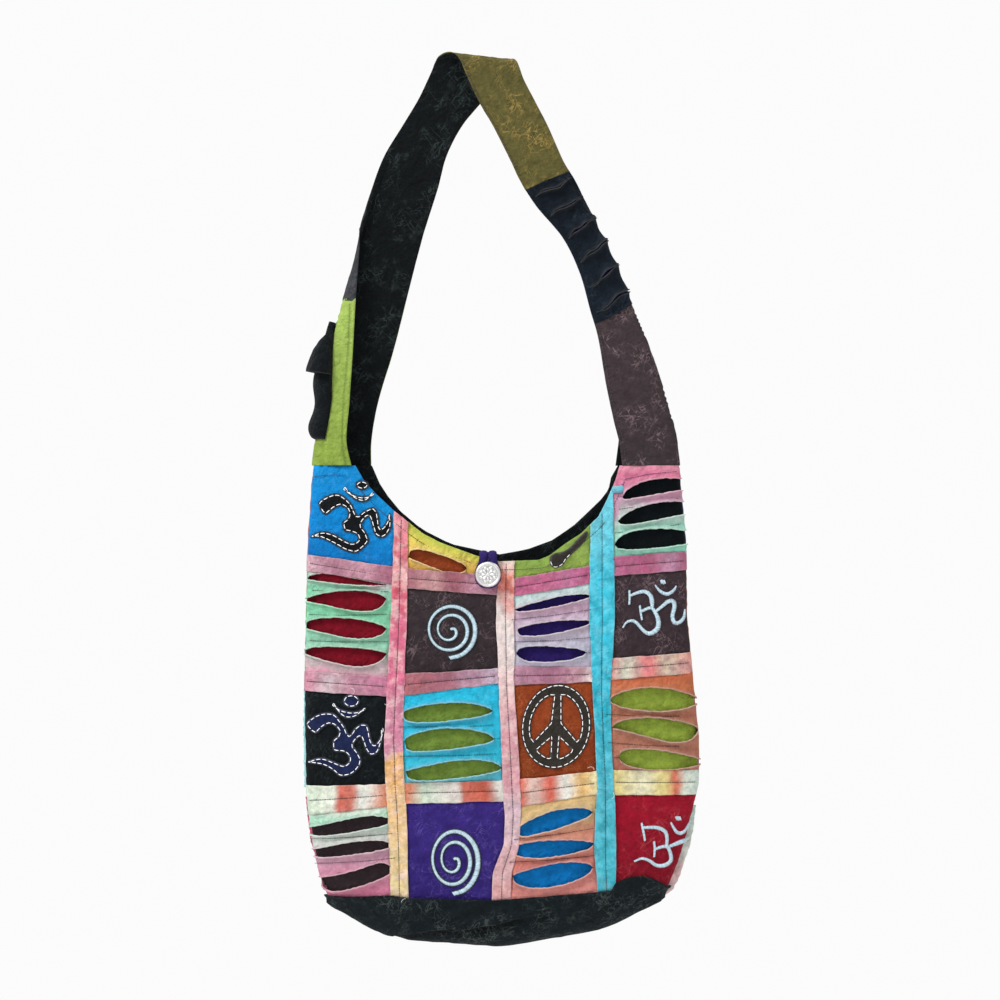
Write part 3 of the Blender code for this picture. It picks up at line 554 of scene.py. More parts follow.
def cut_size(place, across=(0, 1), up=(0, 1)):
    """Width, length and area that a cloth is cut to: those of the smooth place that it covers.

    They are worked out before the cloth crumples, bulges or gapes.
    """
    count = 24
    points = [[place(lerp(*across, i / count), lerp(*up, j / count)) for j in range(count + 1)]
              for i in range(count + 1)]
    width = max(sum((points[i + 1][j] - points[i][j]).length for i in range(count)) for j in range(count + 1))
    length = max(sum((points[i][j + 1] - points[i][j]).length for j in range(count)) for i in range(count + 1))
    area = sum((points[i + 1][j + 1] - points[i][j]).cross(points[i][j + 1] - points[i + 1][j]).length / 2
               for i in range(count) for j in range(count))
    return max(width, LEAST_SIDE), max(length, LEAST_SIDE), area


def walled_cut(size, bulge):
    """The cut of a pocket that stands off its place: side walls half its bulge deep on average, and a lower wall."""
    width, length, area = size
    return width + 2 * bulge, length + bulge, area + bulge * (length + width / 2)


def turned_box(places):
    """Sides of the smallest rectangle, turned as need be, that flat places fit into."""
    found = []
    for degrees in range(0, 90, 3):
        turn = (math.cos(math.radians(degrees)), math.sin(math.radians(degrees)))
        along = [x * turn[0] + y * turn[1] for x, y in places]
        beside = [y * turn[0] - x * turn[1] for x, y in places]
        found.append((max(along) - min(along), max(beside) - min(beside)))
    return min(found, key=lambda sides: sides[0] * sides[1])


def outline_area(ring):
    """Area inside a flat closed outline."""
    return abs(sum(a[0] * b[1] - b[0] * a[1] for a, b in zip(ring, ring[1:] + ring[:1]))) / 2


def grid_mesh(name, surface, across, up, out, dye=None, lip=None):
    """A mesh over lines across and up a surface. out, dye and lip are read at the shares across and up."""
    points, dyes, lips = [], [], []
    for i, a in enumerate(across):
        for j, b in enumerate(up):
            u, v = i / (len(across) - 1), j / (len(up) - 1)
            points.append(lifted(surface, a, b, out(u, v, a, b)))
            dyes.append(dye(u, v) if dye else 0.5)
            lips.append(lip(u, v) if lip else 0.0)
    rows = len(up)
    faces = [(i * rows + j, (i + 1) * rows + j, (i + 1) * rows + j + 1, i * rows + j + 1)
             for i in range(len(across) - 1) for j in range(rows - 1)]
    return new_mesh(name, points, faces, dyes, lips)


def spaced(first, last, count):
    """Evenly spaced values, both ends included."""
    return [lerp(first, last, step / count) for step in range(count + 1)]


def strip_profile(seed, wide, high):
    """How far a narrow strip stands out: a stitched groove down its middle and crumpled edges."""
    def out(u, v, end):
        edge = abs(2 * u - 1)
        dip = 0.0009 * math.exp(-(((u - 0.5) * wide) / 0.0013) ** 2)
        crumple = 0.0006 * mottle(v, u * wide * 1.5, 0.0085, seed)
        pucker = 0.0006 * abs(mottle(v, u * wide * 0.35, 0.0036, seed + 4)) * min(edge * 3, 1)
        full = high - dip + crumple * (0.35 + 0.5 * edge) - pucker + 0.0003 * edge ** 6
        return lerp(0.0013, full, min(end / 0.008, 1) ** 0.5)
    return out


def ring_strip(name, first, low, high, dye, material_name, replaces, slot, back=False, seed=1.0, upright=True,
               blotch=None, trim=0.0):
    """A strip of the patchwork between two column lines or two row lines, with wavy raw edges."""
    last = first + 1
    width = LINES[last] - LINES[first]
    tall = (row_height(first + 0.5, high, back) - row_height(first + 0.5, low, back)) * BAG_HEIGHT
    wide, long = (width, tall) if upright else (tall, width)
    across, along = spaced(0, 1, 14), spaced(0, 1, max(int(long / STEP), 8))

    def surface(u, v):
        wave = 0.0007 * mottle(v * long, seed * 3, 0.014, (u > 0.5) * 5 + seed) * abs(2 * u - 1)
        wave += 0.0004 * mottle(v * long, seed * 3, 0.0055, (u > 0.5) * 5 + seed) * abs(2 * u - 1)
        if upright:
            column = column_past(lerp(LINES[first] - STRIP_OVER, LINES[last] + STRIP_OVER, u) + wave)
            row = lerp(low, high, v)
        else:
            column = lerp(first, last, v)
            over = STRIP_OVER / BAG_HEIGHT
            bottom = row_height(column, low, back) - over + trim / BAG_HEIGHT * v
            height = lerp(row_height(column, high, back) + over, bottom, u)
            row = row_past(height + wave / BAG_HEIGHT, column, low, high, back)
        return pouch(RING - column if back else column, row)
    if back:
        along_surface = surface

        def surface(u, v):
            return along_surface(1 - u, v)
    profile = strip_profile(seed, wide, 0.0034 if upright else 0.0031)

    def out(u, v, a, b):
        if upright:
            end = v * long
        elif first == 0:
            end = v * long
        elif last == COLUMNS:
            end = (1 - v) * long
        else:
            end = long
        return profile(u, v * long, end)
    mesh = grid_mesh(name, surface, across, along, out, dye=lambda u, v: v,
                     lip=lambda u, v: 0.55 * max(0, abs(2 * u - 1) * 8 - 7))
    cut = cut_size(surface)
    material = cloth_material(material_name, dye, wash=0.30, run=0.09, blotch=blotch)
    return finish(mesh, name, material, 0.0008, replaces, slot,
                  (cut, "stretched", ["pouch_lining_front", "pouch_lining_back"]))


def tucked_place(cells, u, v, back):
    """The column and row of a patch at shares across and up it, where its edges run on below the strips."""
    first, last, low, high = cells
    column = column_past(lerp(LINES[first] - TUCK, LINES[last] + TUCK, u))
    below = row_height(column, low, back) - (TUCK / BAG_HEIGHT if low > 1 else 0)
    above = row_height(column, high, back) + (TUCK / BAG_HEIGHT if high < BANDS - 1 else 0)
    if high - low > 1:
        return column, lerp(low, high, v)
    return column, row_past(lerp(below, above, v), column, low, high, back)


def sunk(x, y, width, tall):
    """How far a patch lies below the strips at a distance from its sides: 1 at its edges and 0 inside it."""
    return 1 - min(max(min(x, width - x, y, tall - y) - TUCK * 0.6, 0) / 0.0035, 1)


def plain_panel(name, cells, dye, replaces, slot, thick=0.0010, high=0.0021, back=False, seed=1.0, **look):
    """A whole patch of the pouch, crinkled, with its edges tucked below the strips beside it."""
    first, last, low, high_row = cells
    width = LINES[last] - LINES[first]
    middle = (first + last) / 2
    tall = (row_height(middle, high_row, back) - row_height(middle, low, back)) * BAG_HEIGHT

    def surface(u, v):
        column, row = tucked_place(cells, 1 - u if back else u, v, back)
        return pouch(RING - column if back else column, row)

    def out(u, v, a, b):
        crease = abs(mottle(u * width, v * tall, 0.011, seed)) * 0.0014
        fine = 0.0007 * abs(mottle(u * width, v * tall, 0.0048, seed + 3))
        return max(high - 0.0012 * sunk(u * width, v * tall, width, tall) - crease - fine + 0.0003, 0.0008)
    step = STEP * (BACK_STEP if back else 1)
    mesh = grid_mesh(name, surface, spaced(0, 1, max(int(width / step), 8)), spaced(0, 1, max(int(tall / step), 8)),
                     out, dye=lambda u, v: v)
    cut = cut_size(surface)
    return finish(mesh, name, cloth_material(name, dye, **look), thick, replaces, slot,
                  (cut, "stretched", ["pouch_lining_front", "pouch_lining_back"]))


def lens(slash, px):
    """The upper and lower lips of a slash at a place across it, in pixels down the photograph, or None past it."""
    left, left_y, right, right_y, top_x, top_y, low_x, low_y = slash
    if not left < px < right:
        return None
    share = (px - left) / (right - left)
    base = lerp(left_y, right_y, share)

    def lip(peak_x, peak_y):
        peak = (peak_x - left) / (right - left)
        power = math.log(0.5) / math.log(min(max(peak, 0.12), 0.88))
        rise = math.sin(math.pi * share ** power) ** 0.5
        full = peak_y - lerp(left_y, right_y, peak)
        rough = 0.7 * mottle(px, peak_y, 5.0, 2.0) + 0.4 * mottle(px, peak_y, 2.2, 5.0)
        return base + full * rise + rough * min(1, 3 * rise) * 0.8
    return lip(top_x, top_y), lip(low_x, low_y)


def slashed_mesh(name, place, wide, tall, slashes, seam, columns, billow, roll, base_out, dye, sunk=sunk):
    """Cloth with slashes cut through it: their lips lift and roll back, and a stitched line lies between them.

    place(u, v) is the skin, slashes(u) lists each slash's low and high share up the cloth there, or one share twice
    where it is closed, and seam is the share of a band's height where its stitched line lies.
    """
    points, dyes, lips, lines = [], [], [], []
    rows = 9

    def add(u, v, out, lip):
        points.append(lifted(place, u, v, out))
        dyes.append(dye(u, v))
        lips.append(lip)
        return len(points) - 1

    for step in range(columns + 1):
        u = step / columns
        edges = [(0.0, 0.0)] + slashes(u) + [(1.0, 1.0)]
        line = {"bands": [], "rolls": []}
        for index in range(len(edges) - 1):
            low, high = edges[index][1], edges[index + 1][0]
            low_open = (edges[index][1] - edges[index][0]) * tall
            high_open = (edges[index + 1][1] - edges[index + 1][0]) * tall
            band = []
            for row in range(rows + 1):
                share = (1 - math.cos(math.pi * row / rows)) / 2
                v = lerp(low, high, share)
                from_low, from_high = (v - low) * tall, (high - v) * tall
                side = abs(share - seam)
                puff = billow * min(side / 0.35, 1) * min(high_open + low_open, 0.008) / 0.008
                raised = max(math.exp(-from_low / 0.002) * min(low_open / 0.004, 1),
                             math.exp(-from_high / 0.002) * min(high_open / 0.004, 1))
                wrinkle = 0.0005 * mottle(u * wide, v * tall, 0.007, 3.0) * min(side * 4, 1)
                calm = 1 - sunk(u * wide, v * tall, wide, tall)
                lip = 0.7 * max(math.exp(-from_low / 0.0008) * min(low_open / 0.003, 1),
                                math.exp(-from_high / 0.0008) * min(high_open / 0.003, 1))
                out = base_out - 0.0007 * (1 - calm) + (puff + roll * raised) * calm + wrinkle
                band.append(add(u, v, out, lip))
            line["bands"].append(band)
            for at_low, opened in ((True, low_open), (False, high_open)):
                corner = band[0] if at_low else band[-1]
                if opened <= 0:
                    line["rolls"].append([corner] * 5)
                    continue
                v = low if at_low else high
                size = 0.00062 * min(opened / 0.004, 1) * (1 + 0.4 * mottle(u * wide, v, 0.006, 8.0))
                size *= 0.35 + 0.65 * (1 - sunk(u * wide, v * tall, wide, tall))
                ring = [corner]
                here = points[corner]
                toward = (place(u, v + 0.01) - place(u, v - 0.01)).normalized() * (-1 if at_low else 1)
                outward = (lifted(place, u, v, 0.001) - place(u, v)).normalized()
                for turn in (50, 100, 150, 195):
                    bend = math.radians(turn)
                    points.append(here + toward * size * math.sin(bend) + outward * size * (1 - math.cos(bend)))
                    dyes.append(dye(u, v))
                    lips.append(1.0)
                    ring.append(len(points) - 1)
                line["rolls"].append(ring)
        lines.append(line)
    faces = []
    for left, right in zip(lines, lines[1:]):
        for one, two in zip(left["bands"], right["bands"]):
            faces += [(one[j], two[j], two[j + 1], one[j + 1]) for j in range(rows)]
        for number, (one, two) in enumerate(zip(left["rolls"], right["rolls"])):
            for j in range(4):
                face = (one[j], two[j], two[j + 1], one[j + 1])
                faces.append(face if number % 2 else tuple(reversed(face)))
    mesh = new_mesh(name, points, faces, dyes, lips)
    shape = bmesh.new()
    shape.from_mesh(mesh)
    bmesh.ops.remove_doubles(shape, verts=shape.verts, dist=0.00002)
    shape.to_mesh(mesh)
    shape.free()
    return mesh


def slashed_patch(name, cells, table, dye, under_dye, slot, under_slot, **look):
    """A slashed patch of the front and the cloth that shows through it."""
    first, last, low, high = cells
    width = LINES[last] - LINES[first]
    middle = (first + last) / 2
    tall = (row_height(middle, high, False) - row_height(middle, low, False)) * BAG_HEIGHT

    def place(u, v):
        column, row = tucked_place(cells, u, v, False)
        return pouch(min(max(column, 0.012), COLUMNS - 0.012), row)

    def share_up(u, py):
        bottom, top = place(u, 0).z, place(u, 1).z
        return (height_metres((PHOTO_BOTTOM - py) / PHOTO_HIGH) - bottom) / (top - bottom)

    def slashes(u):
        found = []
        for slash in reversed(table):
            middle_y = (slash[1] + slash[3]) / 2
            point = place(u, min(max(share_up(u, middle_y), 0.01), 0.99))
            px = PHOTO_MIDDLE + (point.x - POUCH_SHIFT) / (BAG_WIDTH - 2 * COVER) * PHOTO_WIDE
            lips = lens(slash, px)
            if lips is None:
                share = min(max((px - slash[0]) / (slash[2] - slash[0]), 0), 1)
                level = share_up(u, lerp(slash[1], slash[3], share))
                found.append((level, level))
            else:
                lower, upper = share_up(u, lips[1] + LIP_BACK), share_up(u, lips[0] - LIP_BACK)
                if upper - lower < 0.004:
                    lower = upper = (lower + upper) / 2
                found.append((lower, upper))
        limit = 0.985
        return [(min(max(lower, 0.015), limit), min(max(upper, 0.015), limit)) for lower, upper in found]

    mesh = slashed_mesh(name, place, width, tall, slashes, 0.5, 72, 0.0012, 0.0009, 0.0023, lambda u, v: v)
    cut = cut_size(place)
    finish(mesh, name, cloth_material(name, dye, **look), 0.0005, ["patch_" + name.split("patch_")[1]], slot,
           (cut, "stretched", ["pouch_lining_front"]))
    under = "under_" + name.split("patch_")[1]

    def out(u, v, a, b):
        edge = (first == 0) * math.exp(-u * 40) + (last == COLUMNS) * math.exp((u - 1) * 40)
        return 0.0007 + 0.0006 * edge + 0.0002 * mottle(u * width, v * tall, 0.012, 6.0)
    rubbed = tuple(min(value * 1.3 + 22, 255) for value in under_dye[0][1])
    def under_place(u, v):
        return pouch(*tucked_place(cells, u, v, False))
    under_mesh = grid_mesh(under, under_place, spaced(0, 1, 40), spaced(0, 1, 40), out, dye=lambda u, v: v)
    cut = cut_size(under_place)
    finish(under_mesh, "cloth_" + under, cloth_material("cloth_" + under, under_dye, wash=0.25, pale=rubbed),
           0.0005, [under], under_slot, (cut, "stretched", ["pouch_lining_front"]))


def resample(points, step):
    """Points at even spacing along a run of points in two or three dimensions."""
    line = [Vector(point) for point in points]
    result = [line[0].copy()]
    carried = 0.0
    for start, end in zip(line, line[1:]):
        length = (end - start).length
        if length == 0:
            continue
        at = step - carried
        while at <= length:
            result.append(start.lerp(end, at / length))
            at += step
        carried = (carried + length) % step
    return result


def smooth_line(points, closed=False, steps=6):
    """A smooth curve through listed points."""
    rows = list(points)
    if closed:
        rows = rows[-2:] + rows + rows[:3]
    last = len(rows) - 1
    axes = range(len(rows[0]))
    line = [tuple(read_curve(rows, step / steps, axis) for axis in axes) for step in range(last * steps + 1)]
    return line[2 * steps:-2 * steps] if closed else line


def add_tube(points, faces, route, radii, sides, flat=1.0, up=Vector((0, -1, 0))):
    """Append a closed round tube along a route, with a radius for each of its points and pointed ends."""
    start = len(points)
    count = len(route)
    for index, (centre, radius) in enumerate(zip(route, radii)):
        ahead = (route[min(index + 1, count - 1)] - route[max(index - 1, 0)]).normalized()
        side = ahead.cross(up)
        side = side.normalized() if side.length > 0.001 else Vector((1, 0, 0))
        top = side.cross(ahead).normalized()
        for turn in range(sides):
            angle = 2 * math.pi * turn / sides
            points.append(centre + side * radius * math.cos(angle) + top * radius * flat * math.sin(angle))
    for index in range(count - 1):
        for turn in range(sides):
            after = (turn + 1) % sides
            low, high = start + index * sides, start + (index + 1) * sides
            faces.append((low + turn, low + after, high + after, high + turn))
    faces.append(tuple(start + turn for turn in reversed(range(sides))))
    faces.append(tuple(start + (count - 1) * sides + turn for turn in range(sides)))


def stitched(name, paths, dash, gap, radius, material, rise=0.0003, up=Vector((0, -1, 0))):
    """A row of thread stitches along each path of points in space."""
    points, faces = [], []
    for path in paths:
        step = 0.0004
        line = resample(path, step)
        size, skip = max(int(dash / step), 3), max(int(gap / step), 1)
        at = 0
        while at + size < len(line):
            route = [line[at + int(size * share)] + up * rise * math.sin(math.pi * share)
                     for share in (0, 0.15, 0.5, 0.85, 1)]
            add_tube(points, faces, route, [radius * share for share in (0.4, 0.9, 1.0, 0.9, 0.4)], 5, up=up)
            at += size + skip + (1 if mottle(at * 0.1, 0, 1, radius * 900) > 0.2 else 0)
    return finish(new_mesh(name, points, faces), name, material)


def satin(name, strokes, out, material, spacing=0.00076, radius=0.00037, size=1.0):
    """Satin embroidery: close threads laid across strokes. Each stroke is a run of places in the photograph with
    the stroke's width there."""
    points, faces, tones = [], [], []
    for stroke in strokes:
        line = smooth_line(stroke, steps=10)
        run = [on_front(px, py, out) for px, py, wide in line]
        travelled = [0.0]
        for start, end in zip(run, run[1:]):
            travelled.append(travelled[-1] + (end - start).length)
        count = int(travelled[-1] / spacing)
        for number in range(count + 1):
            at = travelled[-1] * number / max(count, 1)
            index = min(max(bisect_right(travelled, at) - 1, 0), len(run) - 2)
            share = (at - travelled[index]) / max(travelled[index + 1] - travelled[index], 1e-9)
            centre = run[index].lerp(run[index + 1], min(share, 1))
            ahead = (run[index + 1] - run[index]).normalized()
            wide = lerp(line[index][2], line[index + 1][2], share) * BAG_WIDTH / PHOTO_WIDE / 2 * size
            wide *= 1 + 0.25 * mottle(number * 0.73, 0, 1, 4.0)
            side = ahead.cross(Vector((0, -1, 0))).normalized() + ahead * 0.35
            route = [centre + side * wide * share + Vector((0, -1, 0)) * 0.0005 * (1 - share * share)
                     for share in (-1, -0.6, 0, 0.6, 1)]
            add_tube(points, faces, route, [radius * share for share in (0.5, 1, 1.1, 1, 0.5)], 5)
            tones += [0.5 + mottle(number * 1.3, at * 40, 1, 2.0)] * (len(points) - len(tones))
    return finish(new_mesh(name, points, faces, tones), name, material)


def inside(point, ring):
    """Whether a flat place lies inside a closed outline."""
    x, y = point
    found = False
    for (x0, y0), (x1, y1) in zip(ring, ring[1:] + ring[:1]):
        if (y0 > y) != (y1 > y) and x < (x1 - x0) * (y - y0) / (y1 - y0) + x0:
            found = not found
    return found


def to_ring(place, ring):
    """Distance from a flat place to a closed outline."""
    best = 1e9
    for (x0, y0), (x1, y1) in zip(ring, ring[1:] + ring[:1]):
        run = (x1 - x0) ** 2 + (y1 - y0) ** 2
        share = min(max(((place[0] - x0) * (x1 - x0) + (place[1] - y0) * (y1 - y0)) / max(run, 1e-9), 0), 1)
        best = min(best, math.hypot(place[0] - lerp(x0, x1, share), place[1] - lerp(y0, y1, share)))
    return best


def applique(name, shapes, out, material, grid=2.2):
    """Cut cloth shapes sewn on the front. Each shape is an outline and its holes, as places in the photograph."""
    points, faces, lips = [], [], []
    for outline, holes in shapes:
        places, edges = [], []
        for ring in [outline] + holes:
            start = len(places)
            places += [Vector(place) for place in ring]
            edges += [(start + k, start + (k + 1) % len(ring)) for k in range(len(ring))]
        rim = len(places)
        low_x, high_x = min(p[0] for p in outline), max(p[0] for p in outline)
        low_y, high_y = min(p[1] for p in outline), max(p[1] for p in outline)
        for i in range(int((high_x - low_x) / grid) + 1):
            for j in range(int((high_y - low_y) / grid) + 1):
                place = (low_x + (i + 0.5) * grid, low_y + (j + 0.5 * (i % 2)) * grid)
                if inside(place, outline) and not any(inside(place, hole) for hole in holes):
                    if min(to_ring(place, ring) for ring in [outline] + holes) > 0.5 * grid:
                        places.append(Vector(place))
        found, _, triangles, _, _, _ = delaunay_2d_cdt(places, edges, [list(range(len(outline)))], 1, 1e-5)
        start = len(points)
        for number, place in enumerate(found):
            away = min(to_ring(place, ring) for ring in [outline] + holes)
            crease = 0.0003 * mottle(place[0], place[1], 7.0, 9.0)
            points.append(on_front(place[0], place[1], out - 0.0005 * math.exp(-away / 0.8) + crease))
            lips.append(max(0.0, 1 - away / 0.8) * 0.35)
        for face in triangles:
            middle = (sum(found[k][0] for k in face) / 3, sum(found[k][1] for k in face) / 3)
            if inside(middle, outline) and not any(inside(middle, hole) for hole in holes):
                a, b, c = (found[k] for k in face)
                turned = (b[0] - a[0]) * (c[1] - a[1]) - (b[1] - a[1]) * (c[0] - a[0]) < 0
                faces.append(tuple(start + k for k in (face if turned else reversed(face))))
    mesh = new_mesh(name, points, faces, [0.5] * len(points), lips)
    pixel = (BAG_WIDTH - 2 * COVER) / PHOTO_WIDE
    places = [place for outline, holes in shapes for place in outline]
    sides = [max(side * pixel, LEAST_SIDE) for side in turned_box(places)]
    area = sum(outline_area(outline) - sum(outline_area(hole) for hole in holes) for outline, holes in shapes)
    return finish(mesh, name, material, 0.0005, (), None, ((sides[0], sides[1], area * pixel ** 2), "stretched",
                                                           ["pouch_lining_front"]))


def inset(ring, away):
    """A closed outline moved in by a distance, for the stitches that hold its edge."""
    turned = sum(x0 * y1 - x1 * y0 for (x0, y0), (x1, y1) in zip(ring, ring[1:] + ring[:1])) > 0
    result = []
    count = len(ring)
    for k in range(count):
        before, after = ring[k - 1], ring[(k + 1) % count]
        run = Vector((after[0] - before[0], after[1] - before[1]))
        side = Vector((-run.y, run.x)).normalized() * (away if turned else -away)
        result.append((ring[k][0] + side.x, ring[k][1] + side.y))
    return result


def scaled(points, origin, size):
    """Outline points read from an enlargement, as places in the photograph."""
    return [(origin[0] + x / size, origin[1] + y / size) for x, y in points]


# Dyes of the patchwork, from the bottom up or from left to right.
PLAIN_PATCHES = (
    # name, column line, row line, dye, wash, crackle, pale
    ("blue", 0, 7, ((0, (6, 116, 190)), (0.5, (10, 132, 206)), (1, (16, 140, 210))), 0.16, 0.12, (130, 190, 226)),
    ("black", 0, 3, ((0, (10, 15, 18)), (1, (13, 20, 23))), 0.25, 0.30, (58, 70, 70)),
    ("charcoal", 2, 5, ((0, (52, 43, 47)), (1, (57, 48, 52))), 0.20, 0.40, (140, 118, 122)),
    ("purple", 2, 1, ((0, (50, 34, 112)), (1, (58, 40, 124))), 0.22, 0.40, (122, 106, 184)),
    ("green", 4, 7, ((0, (150, 176, 84)), (1, (136, 166, 78))), 0.20, 0.22, (198, 206, 124)),
    ("rust", 4, 3, ((0, (138, 60, 28)), (1, (150, 66, 32))), 0.22, 0.35, (196, 124, 74)),
    ("brown", 6, 5, ((0, (60, 48, 53)), (1, (64, 52, 57))), 0.20, 0.42, (146, 122, 128)),
    ("crimson", 6, 1, ((0, (136, 14, 36)), (1, (164, 20, 44))), 0.22, 0.35, (198, 96, 96)),
)
SLASHED_PATCHES = (
    # name, column line, row line, dye, cloth below, and the slashes: left end, right end, top and bottom places
    ("mint_pink", 0, 5, ((0, (228, 160, 182)), (0.14, (200, 180, 182)), (0.30, (150, 206, 178)),
                         (0.70, (134, 214, 172)), (0.90, (150, 200, 176)), (1, (208, 182, 192))), (128, 14, 34),
     ((307, 580, 384.5, 585, 340, 574.5, 352, 585.5), (304, 602, 385, 600, 348, 591.5, 364, 612.5),
      (305, 629, 385.4, 630, 333, 618.5, 360, 639.5), (304, 654, 385.4, 654.5, 330, 647.5, 358, 667))),
    ("mint_rose", 0, 1, ((0, (204, 118, 146)), (0.26, (214, 142, 168)), (0.46, (206, 156, 176)),
                         (0.66, (206, 214, 206)), (0.86, (170, 214, 190)), (1, (224, 232, 216))), (54, 43, 47),
     ((306, 829, 390, 821, 368, 815.5, 326, 835.5), (311, 851, 392, 845, 366, 840.5, 328, 857.5),
      (318, 878, 391, 870, 380, 862.5, 334, 890.5))),
    ("lime_yellow", 2, 7, ((0, (228, 176, 80)), (0.5, (238, 200, 100)), (0.8, (214, 204, 92)), (1, (196, 204, 88))),
     (152, 68, 34), ((408, 558, 466, 569, 424, 551, 448, 572.5),)),
    ("turquoise", 2, 3, ((0, (96, 192, 208)), (0.3, (54, 190, 220)), (1, (42, 188, 224))), (120, 148, 62),
     ((403, 713, 491.6, 711.5, 450, 703, 425, 722.5), (404, 741, 493.6, 739, 448, 728.5, 423, 751),
      (405, 771, 501, 768, 468, 759.5, 428, 780))),
    ("lilac", 4, 5, ((0, (206, 190, 212)), (0.2, (190, 190, 208)), (0.5, (202, 186, 204)), (0.75, (210, 172, 196)),
                     (0.9, (196, 214, 214)), (1, (200, 232, 228))), (44, 28, 98),
     ((516, 610, 591, 597, 562, 597, 541, 610), (518, 631, 591, 623, 552, 622.5, 541, 636),
      (517, 654, 586, 653, 540, 646.5, 546, 662.5))),
    ("peach", 4, 1, ((0, (218, 140, 132)), (0.3, (214, 128, 118)), (0.6, (222, 150, 126)), (0.85, (216, 184, 132)),
                     (1, (228, 192, 132))), (8, 120, 196),
     ((518, 830, 592, 812, 556, 810, 540, 833), (513.6, 848, 594, 843, 549, 839.5, 546, 856.5),
      (513, 875, 593, 867, 560, 862, 548, 886.5))),
    ("pink_mint", 6, 7, ((0, (150, 220, 196)), (0.3, (172, 228, 208)), (0.5, (198, 214, 210)), (0.62, (216, 168, 192)),
                         (0.9, (224, 128, 160)), (1, (228, 150, 172))), (9, 17, 21),
     ((623.6, 498, 697, 487, 657, 480, 636, 498.5), (619, 522, 700, 510, 660, 503.5, 640, 523.5),
      (616, 545, 702, 540, 652, 529.5, 640, 550))),
    ("tan", 6, 3, ((0, (190, 118, 100)), (0.3, (184, 122, 100)), (0.6, (182, 118, 94)), (0.85, (202, 118, 80)),
                   (1, (208, 108, 76))), (150, 172, 66),
     ((610.5, 701, 697, 703, 655, 688.5, 655, 711.5), (613, 728, 697, 731, 652, 718.5, 676, 743),
      (620, 757, 701, 763, 648, 749.5, 652, 769.5))),
)
ACROSS_DYES = (
    # for the rows of strips from the top down, the dye of each column's strip from left to right
    (((0, (210, 170, 182)), (0.35, (180, 128, 146)), (0.6, (212, 160, 176)), (1, (176, 110, 132))),
     ((0, (176, 112, 124)), (0.3, (202, 152, 152)), (0.5, (168, 100, 112)), (0.75, (208, 152, 172)),
      (1, (190, 130, 150))),
     ((0, (196, 104, 140)), (0.4, (208, 110, 150)), (0.7, (202, 120, 160)), (1, (190, 96, 136))),
     ((0, (198, 110, 150)), (0.5, (190, 100, 136)), (0.8, (208, 152, 182)), (1, (190, 110, 140)))),
    (((0, (208, 140, 162)), (0.3, (216, 192, 198)), (0.6, (196, 140, 160)), (1, (208, 130, 160))),
     ((0, (182, 110, 116)), (0.4, (170, 106, 120)), (0.7, (190, 150, 170)), (1, (202, 182, 202))),
     ((0, (190, 140, 160)), (0.5, (178, 120, 146)), (0.8, (208, 160, 172)), (1, (240, 222, 220))),
     ((0, (232, 150, 146)), (0.2, (222, 220, 200)), (0.45, (240, 140, 140)), (0.7, (224, 202, 178)),
      (1, (240, 170, 160)))),
    (((0, (214, 230, 208)), (0.32, (232, 236, 220)), (0.42, (214, 114, 98)), (0.56, (210, 120, 104)),
      (0.7, (236, 236, 226)), (1, (226, 140, 110))),
     ((0, (226, 140, 110)), (0.2, (214, 228, 208)), (0.5, (236, 226, 218)), (0.62, (216, 118, 100)),
      (0.8, (210, 106, 88)), (1, (226, 222, 214))),
     ((0, (228, 116, 96)), (0.2, (236, 202, 190)), (0.4, (222, 110, 92)), (0.6, (240, 236, 226)),
      (0.8, (240, 196, 130)), (1, (246, 232, 182))),
     ((0, (240, 222, 150)), (0.35, (244, 238, 200)), (0.6, (240, 222, 150)), (0.72, (230, 130, 104)),
      (0.85, (232, 240, 224)), (1, (220, 236, 224)))),
)
UPRIGHT_DYES = (
    ((0, (240, 216, 162)), (0.15, (246, 206, 150)), (0.31, (240, 184, 120)), (0.335, (238, 176, 120)),
     (0.345, (216, 140, 166)), (0.6, (226, 118, 150)), (0.72, (214, 96, 112)), (0.8, (238, 184, 184)),
     (0.9, (222, 120, 132)), (1, (238, 150, 160))),
    ((0, (228, 170, 170)), (0.12, (222, 190, 200)), (0.3, (222, 160, 170)), (0.5, (238, 208, 206)),
     (0.65, (240, 228, 224)), (0.78, (240, 128, 114)), (0.9, (244, 150, 130)), (0.95, (246, 202, 192)),
     (1, (248, 226, 208))),
    ((0, (70, 186, 204)), (0.2, (90, 194, 212)), (0.4, (50, 184, 208)), (0.6, (60, 196, 222)),
     (0.8, (76, 204, 230)), (1, (120, 216, 234))),
)

# The om outlines, read from 12.06-fold enlargements.
ENLARGED = 12.06
OM_BODY = (
    (320, 780), (400, 700), (540, 655), (650, 710), (730, 800), (790, 920), (860, 870), (980, 820), (1040, 880),
    (1060, 970), (1080, 1075), (1150, 1000), (1185, 890), (1215, 1010), (1180, 1120), (1110, 1185), (1020, 1160),
    (980, 1060), (950, 970), (915, 930), (840, 1030), (890, 1110), (930, 1200), (920, 1250), (860, 1310),
    (770, 1370), (640, 1340), (520, 1270), (350, 1190), (230, 1180), (300, 1130), (400, 1115), (520, 1150),
    (640, 1220), (730, 1250), (800, 1210), (780, 1150), (700, 1120), (630, 1100), (610, 1000), (670, 950),
    (680, 880), (650, 830), (580, 800), (500, 840), (400, 910),
)
OM_CRESCENT = ((620, 580), (700, 680), (780, 735), (860, 755), (930, 725), (1000, 640), (930, 678), (850, 690),
               (760, 670), (690, 630))
